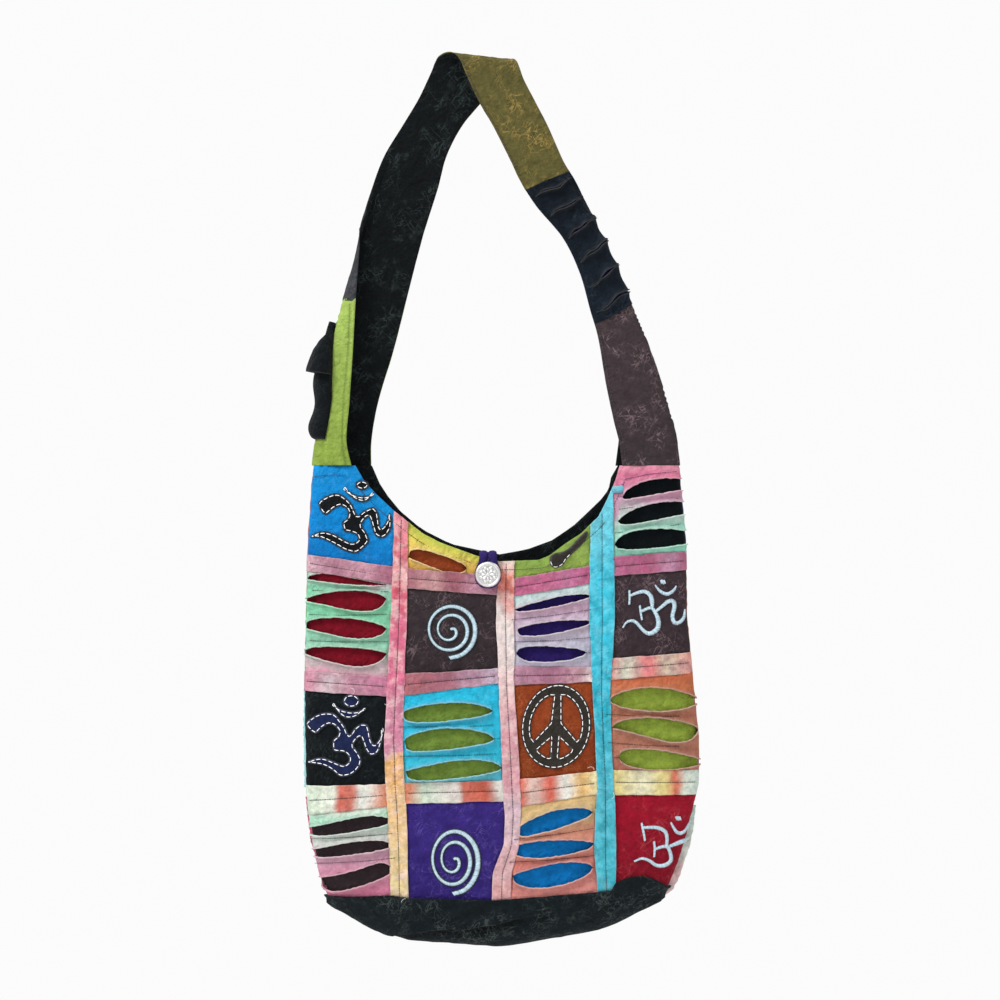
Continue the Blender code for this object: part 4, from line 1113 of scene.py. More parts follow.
BIG_OM_BODY = (
    (180, 550), (270, 450), (390, 405), (520, 415), (590, 490), (650, 570), (700, 670), (760, 590), (840, 535),
    (920, 545), (950, 620), (970, 720), (1010, 780), (1070, 700), (1105, 570), (1110, 690), (1080, 820),
    (1040, 890), (960, 910), (900, 840), (870, 760), (830, 690), (750, 790), (800, 860), (850, 960), (830, 1050),
    (740, 1140), (640, 1170), (570, 1160), (500, 1100), (380, 1040), (200, 1015), (280, 960), (400, 950),
    (540, 1000), (640, 1030), (700, 970), (670, 900), (610, 875), (510, 860), (500, 740), (560, 680), (570, 620),
    (520, 560), (450, 545), (370, 590), (285, 660),
)
BIG_OM_CRESCENT = ((495, 290), (550, 380), (620, 450), (700, 470), (800, 440), (910, 340), (800, 380), (700, 385),
                   (600, 360), (550, 330))


def make_patchwork():
    """The front's patches, under-cloths and strips."""
    slots = {item["node"]: item["material_slot"] for item in frame["record"]["subparts"]}
    for name, first, low, dye, wash, crackle, pale in PLAIN_PATCHES:
        plain_panel("cloth_patch_" + name, (first, first + 1, low, low + 1), dye, ["patch_" + name],
                    slots["patch_" + name], seed=first + low * 1.7, wash=wash, crackle=crackle, pale=pale, run=0.05)
    for name, first, low, dye, under, table in SLASHED_PATCHES:
        slashed_patch("cloth_patch_" + name, (first, first + 1, low, low + 1), table, dye, ((0, under), (1, under)),
                      slots["patch_" + name], slots["under_" + name], wash=0.22, run=0.10)
    for row, dyes in enumerate(ACROSS_DYES, 1):
        for column, dye in enumerate(dyes, 1):
            node = f"strip_{column}_{row}"
            low = BANDS - 2 * row
            ring_strip("cloth_" + node, 2 * (column - 1), low, low + 1, dye, "cloth_" + node, [node], slots[node],
                       seed=row * 2.3 + column, upright=False, trim=0.0045 if (column, row) == (1, 1) else 0.0,
                       blotch=(150, 104, 118) if row < 3 else None)
    for number, dye in enumerate(UPRIGHT_DYES, 1):
        node = f"long_strip_{number}"
        ring_strip("cloth_" + node, 2 * number - 1, 1, BANDS, dye, "cloth_" + node, [node], slots[node],
                   seed=number * 3.1, blotch=(232, 204, 200) if number < 3 else (110, 206, 226))
    # The back isn't in the photograph: its patches and short strips repeat the front's colours in another order.
    back_colours = (
        ((190, 90, 120), (206, 176, 176), (150, 206, 200), (196, 140, 156), (120, 150, 62), (204, 150, 166), (176, 96, 66)),
        ((20, 26, 32), (214, 190, 170), (196, 150, 100), (186, 120, 136), (50, 36, 112), (210, 160, 150), (190, 190, 200)),
        ((150, 170, 80), (220, 200, 190), (60, 46, 52), (190, 130, 150), (16, 130, 190), (200, 130, 150), (130, 60, 30)),
        ((206, 196, 196), (216, 190, 170), (140, 24, 44), (206, 150, 160), (184, 122, 100), (190, 120, 144), (40, 50, 90)))
    back_dyes = []
    for colours in back_colours:
        stops = []
        for k, colour in enumerate(colours):
            stops += [(k / 6.94 + 0.003, colour), ((k + 1) / 6.94 - 0.003, colour)]
        back_dyes.append(stops)
    for number, dye in enumerate(back_dyes, 1):
        node = f"back_column_{number}"
        first = 2 * (number - 1)
        plain_panel("cloth_" + node, (first, first + 1, 1, BANDS - 0.12), dye, [node], slots[node], back=True,
                    seed=number * 5.3, wash=0.3, crackle=0.2, run=0.0)
    for number, dye in enumerate(UPRIGHT_DYES, 1):
        node = f"back_strip_{number}"
        ring_strip("cloth_" + node, 2 * number - 1, 1, BANDS - 0.12, dye, "cloth_" + node, [node], slots[node], back=True,
                   seed=number * 4.3)


def make_base():
    """The black cloth round the bottom, with the fold that runs along its front and a painted shadow below that fold,
    and the lining.
    """
    crease = ((330, 915), (390, 934), (444, 927), (466, 928), (498, 922), (520, 915.5), (560, 908))
    rings = spaced(0, RING, 220)

    def out(u, v, a, b):
        point = pouch(a, b)
        py = PHOTO_BOTTOM - PHOTO_HIGH * (1 - (-SHOULDER_DROP - point.z) / (BAG_HEIGHT - COVER))
        px = PHOTO_MIDDLE + (point.x - POUCH_SHIFT) / (BAG_WIDTH - 2 * COVER) * PHOTO_WIDE
        rim = 0.0022 * math.exp(-max(1.02 - b, 0) * 9)
        crumple = 0.0004 * mottle(point.x, point.z, 0.012, 2.0)
        fold = 0.0008 * abs(mottle(point.x, point.z, 0.02, 5.0))
        high = 0.0022 + rim + crumple - fold
        if a < COLUMNS:
            line = read_table(crease, px, 1)
            below = py - line
            if 330 < px < 560:
                fade = math.sin(math.pi * (px - 330) / 230) ** 0.5
                high += fade * (0.0040 * math.exp(-((below + 0.5) / 5) ** 2) if below < 0 else
                                0.0040 * math.exp(-(below / 1.4) ** 2) - 0.0014 * math.exp(-((below - 4) / 3) ** 2))
        return high
    def surface(a, b):
        rise = 0.13 * max(math.sin(math.pi * (a - 5.8) / 1.15), 0) if 5.8 < a < 6.95 else 0
        return pouch(a, b * (1 + rise))
    # Painted shadow below the fold: a share from 0 to 1, highest just under the crease line and fading downwards, that
    # darkens the cloth's colour there.
    def shadow(u, v):
        a = lerp(0, RING, u)
        point = surface(a, lerp(0, 1.02, v))
        px = PHOTO_MIDDLE + (point.x - POUCH_SHIFT) / (BAG_WIDTH - 2 * COVER) * PHOTO_WIDE
        py = PHOTO_BOTTOM - PHOTO_HIGH * (1 - (-SHOULDER_DROP - point.z) / (BAG_HEIGHT - COVER))
        if a > COLUMNS or not 350 < px < 560:
            return 0.0
        below = py - read_table(crease, px, 1)
        return min(max(below / 2, 0), 1) * math.exp(-max(below, 0) / 9) * math.sin(math.pi * (px - 350) / 210)
    # The dye share of the base carries the painted shadow below the fold.
    mesh = grid_mesh("cloth_base", surface, rings, spaced(0.0, 1.02, 26), out, dye=shadow)
    cut = cut_size(surface, (0, RING), (0.0, 1.02))
    # Colour ramp of the base: its darker end is the painted shadow below the fold.
    dye = ((0, (18, 27, 31)), (1, (3, 5, 7)))
    material = cloth_material("cloth_base", dye, wash=0.45, crackle=0.45, pale=(92, 100, 98), run=0.0)
    finish(mesh, "cloth_base", material, 0.0010,
           ["base"], "black_cotton", (cut, "stretched", ["pouch_lining_front", "pouch_lining_back"]))
    lining = cloth_material("cloth_lining", ((0, (8, 12, 14)), (1, (12, 18, 20))), wash=0.40, crackle=0.40,
                            pale=(64, 76, 76))
    for name, node, first, last in (("cloth_lining_front", "pouch_lining_front", 0, COLUMNS),
                                    ("cloth_lining_back", "pouch_lining_back", COLUMNS, RING)):
        mesh = grid_mesh(name, pouch, spaced(first, last, 70), spaced(BOTTOM_ROW, BANDS, 70),
                         lambda u, v, a, b: -0.0001 + 0.0003 * mottle(a * 0.05, b * 0.05, 0.012, 3.0))
        cut = cut_size(pouch, (first, last), (BOTTOM_ROW, BANDS))
        finish(mesh, name, lining, 0.0006, [node], "black_cotton", (cut, "stretched", ["strap_lining_long"]))
    return lining


# How far the strap's joins slant across it, in stations, at the stations where its cloths meet.
STRAP_SLANTS = {21: 0.9, 25: 0.9}


def strap_piece(name, node, first, last, material, slot, high=0.0014, across=48, detail=None, thick=0.0009):
    """A length of the strap's cloth between two stations."""
    def out(u, v, a, b):
        point = strap(a, b)
        crease = 0.0007 * abs(mottle(point.x, point.z, 0.014, 4.0)) - 0.0003 * mottle(point.x, point.z, 0.006, 6.0)
        edge = min(a, 1 - a)
        hem = 0.0005 * math.exp(-(edge / 0.02) ** 2)
        return high - crease + hem + (detail(a, b) if detail else 0.0)

    def surface(a, b):
        share = (b - first) / (last - first)
        slant = lerp(STRAP_SLANTS.get(round(first), 0), STRAP_SLANTS.get(round(last), 0), share)
        return strap(a, b + (a - 0.5) * slant)
    mesh = grid_mesh(name, surface, spaced(0, 1, across), spaced(first, last, max(int((last - first) * 14), 10)), out,
                     dye=lambda u, v: v)
    cut = cut_size(surface, (0, 1), (first, last))
    return finish(mesh, name, material, thick, [node], slot, (cut, "folded", ["strap_lining_long"]))


def make_strap(lining):
    """The strap's lining and its joined lengths of outer cloth."""
    for node, first, last in (("strap_lining_long", 0, 21), ("strap_lining_short", 21, 30)):
        def out(u, v, a, b):
            return -0.0005 + 0.0003 * mottle(a * 0.11, b * 0.03, 0.012, 2.0)
        mesh = grid_mesh("cloth_" + node, strap, spaced(0, 1, 40), spaced(first, last, (last - first) * 10), out)
        cut = cut_size(strap, (0, 1), (first, last))
        finish(mesh, "cloth_" + node, lining, 0.0006, [node], "black_cotton", (cut, "folded", ["pouch_lining_back"]))

    def gathers(a, b):
        return 0.0020 * math.exp(-b / 0.9) * mottle(a * 0.11, b * 0.004, 0.0038, 1.0) - 0.0006 * math.exp(
            -((a - 0.955) / 0.012) ** 2)

    green = cloth_material("cloth_strap_green", ((0, (140, 164, 70)), (1, (160, 186, 92))), wash=0.20,
                           pale=(206, 216, 150), run=0.05)
    strap_piece("cloth_strap_green", "strap_green", -0.0, 4.0, green, "strap_lime", detail=gathers)
    charcoal = cloth_material("cloth_strap_charcoal", ((0, (58, 60, 64)), (1, (50, 52, 56))), wash=0.25, crackle=0.2,
                              pale=(110, 108, 104))
    strap_piece("cloth_strap_charcoal", "strap_charcoal", 3.95, 7.0, charcoal, "strap_charcoal")
    olive = cloth_material("cloth_strap_olive", ((0, (86, 80, 44)), (1, (96, 90, 50))), wash=0.26, crackle=0.50,
                           pale=(186, 156, 84), run=0.08)
    strap_piece("cloth_strap_olive", "strap_olive", 6.95, 21.0, olive, "strap_olive")
    mauve = cloth_material("cloth_strap_mauve", ((0, (68, 57, 60)), (1, (64, 54, 57))), wash=0.22, crackle=0.50,
                           pale=(150, 126, 132), run=0.06)
    strap_piece("cloth_strap_mauve", "strap_mauve", 25.0, 30.0, mauve, "strap_mauve")
    navy = cloth_material("cloth_strap_navy", ((0, (16, 24, 33)), (1, (20, 29, 39))), wash=0.3, crackle=0.3,
                          pale=(60, 72, 84), run=0.06, lip=0.08)
    purple = cloth_material("cloth_under_navy", ((0, (52, 36, 116)), (1, (52, 36, 116))), wash=0.2)
    strap_piece("cloth_under_navy", "under_navy", 21.0, 25.0, purple, "violet_cotton", high=0.0009, thick=0.0005)

    def place(u, v):
        return strap(u, lerp(20.96, 25.04, v) + (u - 0.5) * STRAP_SLANTS[21])

    def slashes(u):
        found = []
        for number in range(6):
            middle = (number + 0.5) / 6 + 0.02 * mottle(u, number * 3, 0.3, 9.0)
            share = (u - 0.06) / 0.86
            if 0 < share < 1:
                gape = 0.022 * math.sin(math.pi * share) ** 0.6 * (1 + 0.8 * mottle(u, number, 0.2, 3.0))
                found.append((middle - gape / 2, middle + gape / 2))
            else:
                found.append((middle, middle))
        return found
    mesh = slashed_mesh("cloth_strap_navy", place, 0.11, 0.125, slashes, 0.5, 90, 0.0022, 0.0030, 0.0019,
                        lambda u, v: v, sunk=lambda x, y, width, tall: 0.0)
    cut = cut_size(place)
    finish(mesh, "cloth_strap_navy", navy, 0.0006, ["strap_navy"], "strap_navy",
           (cut, "folded", ["strap_lining_long"]))


def make_pocket():
    """The small black pocket on the strap's outer fold, with its flap folded over and frayed pale edges."""
    black = cloth_material("cloth_pocket", ((0, (12, 17, 20)), (1, (15, 20, 24))), wash=0.3, crackle=0.2,
                           pale=(70, 76, 78), lip=0.5)

    fold_share = POCKET_BEHIND / (POCKET_BEHIND + POCKET_BEFORE)

    def pocket_sheet(start, end, bulge, seed, shape):
        def place(u, v):
            station = lerp(start, end, v)
            index = min(int(station), len(STRAP_SECTIONS) - 2)
            fold = lerp(STRAP_SECTIONS[index][-1], STRAP_SECTIONS[index + 1][-1], station - index) / STRAP_COLUMNS
            if u < fold_share:
                return strap(fold + lerp(-POCKET_BEHIND, 0, u / fold_share), station)
            narrow = 0.135 * ((station - POCKET_START) / (POCKET_END - POCKET_START)) ** 2
            front = max(POCKET_BEFORE - narrow, 0.004)
            return strap(fold + lerp(0, front, (u - fold_share) / (1 - fold_share)), station)

        def out(u, v, a, b):
            swell = math.sqrt(max(math.sin(math.pi * u ** 2.4), 0))
            wrinkle = 0.0010 * mottle(u * 0.05, v * 0.1, 0.015, seed)
            return 0.0024 + bulge * swell * shape(v) + wrinkle * (1 - 0.7 * v)
        mesh = grid_mesh("pocket_part", place, spaced(0, 1, 44), spaced(0, 1, 60), out,
                         lip=lambda u, v: 0.25 * max(0, 1 - v * 50))
        return mesh, walled_cut(cut_size(place), bulge)

    def body_shape(v):
        waist = 1 - 0.7 * math.exp(-((v - 0.33) / 0.16) ** 2)
        return math.sqrt(min(v / POCKET_CLOSING, 1)) * (1 - 0.55 * v ** 1.5) * waist
    body, body_cut = pocket_sheet(POCKET_START, POCKET_END, POCKET_BULGE, 2.0, body_shape)
    flap, flap_cut = pocket_sheet(lerp(POCKET_START, POCKET_END, 0.60), POCKET_END - 0.1, POCKET_BULGE + 0.0045, 6.0,
                        lambda v: 1 - 0.97 * v ** 2.7)
    finish(body, "cloth_pocket", black, 0.0008, ["pocket"], "black_cotton", (body_cut, "stretched", ["strap_green"]))
    finish(flap, "pocket_flap", black, 0.0008, (), "black_cotton", (flap_cut, "laid", ["pocket"]))


def make_side_edges():
    """The edges of the back's cloth that show past the front at both sides, ragged and rolled."""
    def edge_sheet(name, rows, dye, under):
        def surface(u, v):
            py = lerp(rows[0][0], rows[-1][0], v)
            inner, outer = read_table(rows, py, 1), read_table(rows, py, 2)
            ragged = 0.9 * mottle(py, 1, 4.5, 3.0) + 0.5 * mottle(py, 1, 1.8, 3.0)
            x = POUCH_SHIFT + (lerp(inner, outer + ragged, u) - PHOTO_MIDDLE) / PHOTO_WIDE * (BAG_WIDTH - 2 * COVER)
            roll = 0.0012 * mottle(py, u * 3, 6.0, 5.0)
            return Vector((x, 0.0030 + 0.003 * u * u + roll, height_metres((PHOTO_BOTTOM - py) / PHOTO_HIGH)))
        mesh = grid_mesh(name, surface, spaced(0, 1, 8), spaced(0, 1, 70), lambda u, v, a, b: 0.0,
                         dye=lambda u, v: v, lip=lambda u, v: 0.6 * max(abs(2 * u - 1) * 4 - 3, 0))
        cut = cut_size(surface)
        finish(mesh, name, cloth_material(name, dye, wash=0.3, run=0.08), 0.0008, (), "back_cotton",
               (cut, "stretched", [under]))
    edge_sheet("side_edge_left_high", ((686, 308, 300.5), (735, 308, 299.4), (790, 309, 300.5)),
               ((0, (150, 214, 220)), (1, (170, 222, 224))), "cloth_back_column_1")
    edge_sheet("side_edge_left_low", ((800, 309, 301.5), (845, 316, 307), (880, 326, 318), (903, 336, 327)),
               ((0, (190, 70, 110)), (1, (206, 90, 130))), "cloth_back_column_1")
    edge_sheet("side_edge_right", ((808, 688, 699), (828, 684, 697), (845, 679, 694), (879, 661, 683), (893, 654, 676),
                                   (902, 648, 663)),
               ((0, (200, 226, 212)), (0.5, (226, 228, 220)), (0.7, (232, 190, 190)), (0.9, (236, 206, 204)),
                (1, (226, 196, 196))), "cloth_back_column_4")


def make_button():
    """The silver button with a rim and a plain rosette in relief, and the purple loop of two rolled cords."""
    low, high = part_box("button")
    centre = Vector(((low[0] + high[0]) / 2, low[1], (low[2] + high[2]) / 2))
    radius = (high[0] - low[0]) / 2
    rings, sides = 40, 120
    points, faces, tones = [], [], []

    def depth(share, turn):
        rim = 0.0010 * math.exp(-((share - 0.86) / 0.10) ** 2)
        disc = 0.0002 if share < 0.74 else 0.0
        petal = 0.00095 * max(0, math.cos(4 * turn) ** 2 - 0.15) * math.exp(-((share - 0.34) / 0.15) ** 2)
        leaf = 0.00075 * math.sin(4 * turn) ** 4 * math.exp(-((share - 0.54) / 0.08) ** 2)
        beads = 0.00055 * (0.5 + 0.5 * math.cos(28 * turn)) * math.exp(-((share - 0.67) / 0.035) ** 2)
        heart = 0.0006 * math.exp(-(share / 0.12) ** 2)
        wear = 0.00012 * mottle(share * math.cos(turn), share * math.sin(turn), 0.18, 3.0)
        crown = 0.0006 * (1 - share * share)
        edge = -0.0019 * max(0, (share - 0.94) / 0.06) ** 2
        return rim + disc + petal + leaf + beads + heart + wear + crown + edge

    for ring in range(rings + 1):
        share = ring / rings
        for side in range(sides):
            turn = 2 * math.pi * side / sides
            points.append(centre + Vector((share * radius * math.cos(turn), 0.0016 - depth(share, turn),
                                           share * radius * math.sin(turn))))
            high_here = depth(share, turn) - 0.0006 * (1 - share * share)
            tones.append(min(max(1 - high_here / 0.0007, 0), 1) if share < 0.80 else 0.15)
    for ring in range(rings):
        for side in range(sides):
            after = (side + 1) % sides
            faces.append((ring * sides + side, ring * sides + after, (ring + 1) * sides + after,
                          (ring + 1) * sides + side))
    start = len(points)
    for side in range(sides):
        turn = 2 * math.pi * side / sides
        points.append(centre + Vector((0.9 * radius * math.cos(turn), 0.0048, 0.9 * radius * math.sin(turn))))
    for side in range(sides):
        after = (side + 1) % sides
        faces.append((rings * sides + side, rings * sides + after, start + after, start + side))
    faces.append(tuple(start + side for side in range(sides)))
    mesh = new_mesh("button_face", points, faces, tones + [0.3] * sides)
    shape = bmesh.new()
    shape.from_mesh(mesh)
    bmesh.ops.remove_doubles(shape, verts=shape.verts, dist=0.00001)
    bmesh.ops.recalc_face_normals(shape, faces=shape.faces)
    shape.to_mesh(mesh)
    shape.free()
    nodes = Nodes("silver", 0.38, 1.0)
    tarnish = nodes.spread(nodes.noise(900, 4), 0.35, 0.7, 0.0, 0.45)
    metal = nodes.mix(tarnish, (0.80, 0.80, 0.79), (0.42, 0.42, 0.42))
    hollow = nodes.math("MULTIPLY", nodes.attribute("dye"), 0.75)
    nodes.join(nodes.mix(hollow, metal, (0.16, 0.15, 0.15)), nodes.shader.inputs["Base Color"])
    nodes.bump(nodes.noise(2200, 3), 0.0001, 0.5)
    finish(mesh, "button_face", nodes.material, 0.0, ["button"], "silver_metal")
    shank_points, shank_faces = [], []
    add_tube(shank_points, shank_faces, [centre + Vector((0, 0.0046, 0)), centre + Vector((0, high[1] - low[1], 0))],
             [0.0024, 0.0024], 16)
    shank = new_mesh("button_shank", shank_points, shank_faces)
    finish(shank, "button_shank", nodes.material, 0.0, (), "silver_metal")
    box_low, box_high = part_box("button_loop")
    purple = cloth_material("cloth_loop", ((0, (52, 38, 104)), (1, (60, 44, 118))), wash=0.3, pale=(120, 110, 160))
    points, faces = [], []
    rest = high[1] - 0.0030
    top = box_high[2]
    back_y = box_high[1] - 0.0022
    for side in (-1, 1):
        half = [(side * 0.0042, back_y, box_high[2] - 0.017), (side * 0.0042, back_y - 0.003, box_high[2] - 0.008),
                (side * 0.0042, lerp(back_y, rest, 0.5), top - 0.0030), (side * 0.0042, rest + 0.004, top - 0.0022),
                (side * 0.0043, rest - 0.0002, top - 0.0042), (side * 0.0045, rest, top - 0.010),
                (side * 0.0062, rest, centre.z + 0.0088), (side * 0.0098, rest, centre.z + 0.0025),
                (side * 0.0098, rest, centre.z - 0.0050), (side * 0.0054, rest, centre.z - 0.0100),
                (0, rest, centre.z - 0.0112)]
        line = [Vector(p) + Vector((centre.x, 0, 0)) for p in smooth_line(half, steps=8)]
        radii = [0.0041 if index < 46 else lerp(0.0041, 0.0024, min((index - 46) / 14, 1))
                 for index in range(len(line))]
        radii = [radius * (1 + 0.08 * mottle(index * 0.4, side, 1, 3.0)) for index, radius in enumerate(radii)]
        add_tube(points, faces, line, radii, 16, flat=0.55)
    finish(new_mesh("loop_cords", points, faces), "loop_cords", purple, 0.0, ["button_loop"], "violet_cotton")


def peace_outlines():
    """The outline and the four holes of the peace sign."""
    cx, cy, wide, tall, lean = 556.4, 726.4, 35.0, 42.0, 0.06
    inner_x, inner_y = wide - 9.5, tall - 10.5

    def spot(turn, rx, ry):
        y = -ry * math.cos(turn)
        return (cx + rx * math.sin(turn) - y * lean, cy + y)
    outline = [spot(2 * math.pi * k / 60, wide, tall) for k in range(60)]
    holes = []
    turns = (0, 128, 180, 232, 360)
    for start, end in zip(turns, turns[1:]):
        first, last = math.radians(start), math.radians(end)
        hub = spot((first + last) / 2, inner_x * 0.26, inner_y * 0.26)
        if end - start < 60:
            hub = spot((first + last) / 2, inner_x * 0.38, inner_y * 0.38)
        gap = 4.5
        ring = [spot(lerp(first + gap / inner_x, last - gap / inner_x, k / 14), inner_x, inner_y) for k in range(15)]
        holes.append(ring + [hub])
    return outline, holes


def spiral(cx, cy, rx, ry, turns, start_turn, wide_in, wide_out):
    """A spiral stroke from its inner end out: place across, place down and width."""
    stroke = []
    count = int(turns * 14)
    for k in range(count + 1):
        share = k / count
        turn = start_turn + 2 * math.pi * turns * share
        reach = lerp(0.05, 1.0, share ** 0.66)
        stroke.append((cx + rx * reach * math.cos(turn), cy + ry * reach * math.sin(turn),
                       lerp(wide_in, wide_out, share) * (1 + 0.25 * math.cos(turn))))
    return stroke


def make_motifs():
    """The sewn-on om signs, the peace sign and the embroidered signs, with their stitches."""
    black = cloth_material("applique_black", ((0, (14, 16, 20)), (1, (20, 22, 26))), wash=0.4, pale=(70, 72, 74))
    navy = cloth_material("applique_navy", ((0, (26, 36, 72)), (1, (30, 40, 80))), wash=0.3, pale=(60, 70, 110))
    olive = cloth_material("applique_olive", ((0, (50, 46, 42)), (1, (56, 52, 46))), wash=0.3, crackle=0.3,
                           pale=(104, 96, 84))
    white = thread_material("white_thread", (244, 244, 244), 0.05)
    dark = thread_material("dark_thread", (30, 34, 40), 0.1)
    halo = thread_material("halo_thread", (34, 48, 48), 0.1)
    pale = thread_material("pale_blue_thread", (204, 228, 240), 0.10)
    small = []
    for body, crescent, dot, origin in (
            (OM_BODY, OM_CRESCENT, (850, 550, 80, 55), (290, 440)),
            (BIG_OM_BODY, BIG_OM_CRESCENT, (725, 260, 100, 80), (290, 680))):
        cx, cy, rx, ry = dot
        disc = [(cx + rx * math.cos(turn), cy + ry * math.sin(turn)) for turn in
                (2 * math.pi * k / 20 for k in range(20))]
        shapes = []
        for ring in (body, crescent, disc):
            shapes.append((smooth_line(scaled(ring, origin, ENLARGED), closed=True, steps=3)[:-1], []))
        small.append(shapes)
    applique("om_black", small[0], 0.0030, black)
    applique("om_navy", small[1], 0.0030, navy)
    outline, holes = peace_outlines()
    applique("peace_sign", [(outline, holes)], 0.0030, olive)
    rows, edges = [], []
    for shapes in small:
        for ring, _ in shapes:
            for away, kept in ((1.5, rows), (-0.5, edges)):
                moved = inset(ring, away)
                kept.append([on_front(x, y, 0.0031 if kept is rows else 0.0024) for x, y in moved + moved[:1]])
    for ring, away in [(outline, 1.4)] + [(hole, -1.4) for hole in holes]:
        moved = inset(ring, away)
        rows.append([on_front(x, y, 0.0032) for x, y in moved + moved[:1]])
    for ring in [outline] + holes:
        edges.append([on_front(x, y, 0.0024) for x, y in ring + ring[:1]])
    stitched("running_stitches", rows, 0.0046, 0.0017, 0.00040, white)
    stitched("dark_edges", edges, 0.0040, 0.0003, 0.00028, dark)
    swirls = [spiral(449.5, 631, 27.0, 27.5, 2.4, -0.94, 2.2, 3.6),
              spiral(453, 860, 26.5, 33.5, 2.4, -0.94, 2.3, 4.0)]
    serif = [
        [(630.3, 591.5, 2.0), (630.5, 598, 2.2), (630.2, 605, 2.0)],
        [(631, 596.5, 2.2), (639.8, 593.4, 3.4), (646.4, 592.6, 3.8), (651.4, 596, 4.2), (653.4, 602, 4.6),
         (653.6, 608, 3.4)],
        [(641.2, 606.6, 2.0), (642, 613, 2.2), (643.4, 620.6, 2.0)],
        [(643, 612.2, 2.6), (648, 609.8, 3.0), (653, 608.8, 3.2), (656.4, 613, 3.6), (659.6, 621, 4.6),
         (659, 629, 4.8), (653, 633.8, 4.4), (648, 633.8, 3.8), (643, 629.8, 3.4), (638, 624, 3.2),
         (633.2, 621.6, 3.0), (627.4, 623.2, 2.2), (623.6, 628.4, 1.4)],
        [(656.4, 613, 2.6), (664.8, 606.4, 3.4), (669.8, 602.4, 4.0), (674.6, 602.4, 4.4), (675.8, 608.2, 4.2),
         (673.8, 616.6, 4.0), (675.4, 623, 4.0), (679.6, 624, 3.8), (684.6, 619, 3.2), (685.8, 610.6, 1.6)],
        [(656.8, 586.2, 1.4), (662.2, 592.4, 3.0), (668.8, 595, 3.6), (674.6, 591.6, 3.0), (677.6, 587, 1.4)],
        [(662.6, 582.8, 4.0), (664.6, 582.8, 4.6), (666.6, 582.8, 4.0)],
    ]
    lower = [
        [(642.6, 823.4, 2.0), (644.4, 832, 2.4), (645.8, 840.7, 2.0)],
        [(644.2, 827.7, 2.6), (657.7, 827.9, 3.6), (665.9, 832, 3.8), (668, 839, 3.6), (667.5, 846, 3.2)],
        [(655, 842, 2.0), (655.6, 849, 2.4), (655, 857, 2.0)],
        [(656, 849.4, 2.8), (668, 847.4, 3.4), (671.9, 860.2, 4.0), (665.9, 865.9, 4.0), (657.2, 865.9, 3.6),
         (650.7, 861.3, 3.2), (643, 858.6, 2.6), (635.5, 861.4, 1.8)],
        [(668, 847.8, 2.8), (678.9, 844, 4.2), (687.6, 840.4, 4.6)],
        [(671.9, 823.4, 1.8), (677.8, 833, 3.4), (684.3, 833, 3.4), (690.4, 823, 2.0)],
        [(677, 819, 3.6), (679.4, 819, 4.4), (681.6, 819, 3.6)],
    ]
    halos = [[(x, y, wide + 2.6) for x, y, wide in stroke] for stroke in swirls]
    satin("embroidery_halo", halos, 0.0021, halo)
    satin("embroidery", swirls + serif + lower, 0.0026, pale)
    tab = cloth_material("applique_light_blue", ((0, (110, 196, 220)), (1, (140, 210, 226))), wash=0.3, run=0.05)
    applique("blue_tab", [([(613, 487.5), (618, 486.5), (624, 486), (625.5, 489), (625, 493), (619, 493.5), (614, 494)],
                           [])], 0.0040, tab, grid=1.6)
    # The part of a black sewn shape that the neckline cuts
    cut_shape = [(550, 558), (555, 554), (565, 551.5), (573, 545), (579, 538.5), (587, 531.5), (588.5, 534), (586, 541),
                 (580, 548), (573, 554), (567, 560), (563, 566), (556, 569), (551, 566)]
    ring = smooth_line(cut_shape, closed=True, steps=3)[:-1]
    applique("cut_shape", [(ring, [])], 0.0030, olive)
    moved = inset(ring, 1.2)
    stitched("cut_shape_stitches", [[on_front(x, y, 0.0032) for x, y in moved[-14:]]], 0.0040, 0.0016, 0.00032,
             white)


def front_line(points, out=0.0030):
    """A run of points on the front through places in the photograph."""
    return [on_front(x, y, out) for x, y in smooth_line(points, steps=8)]


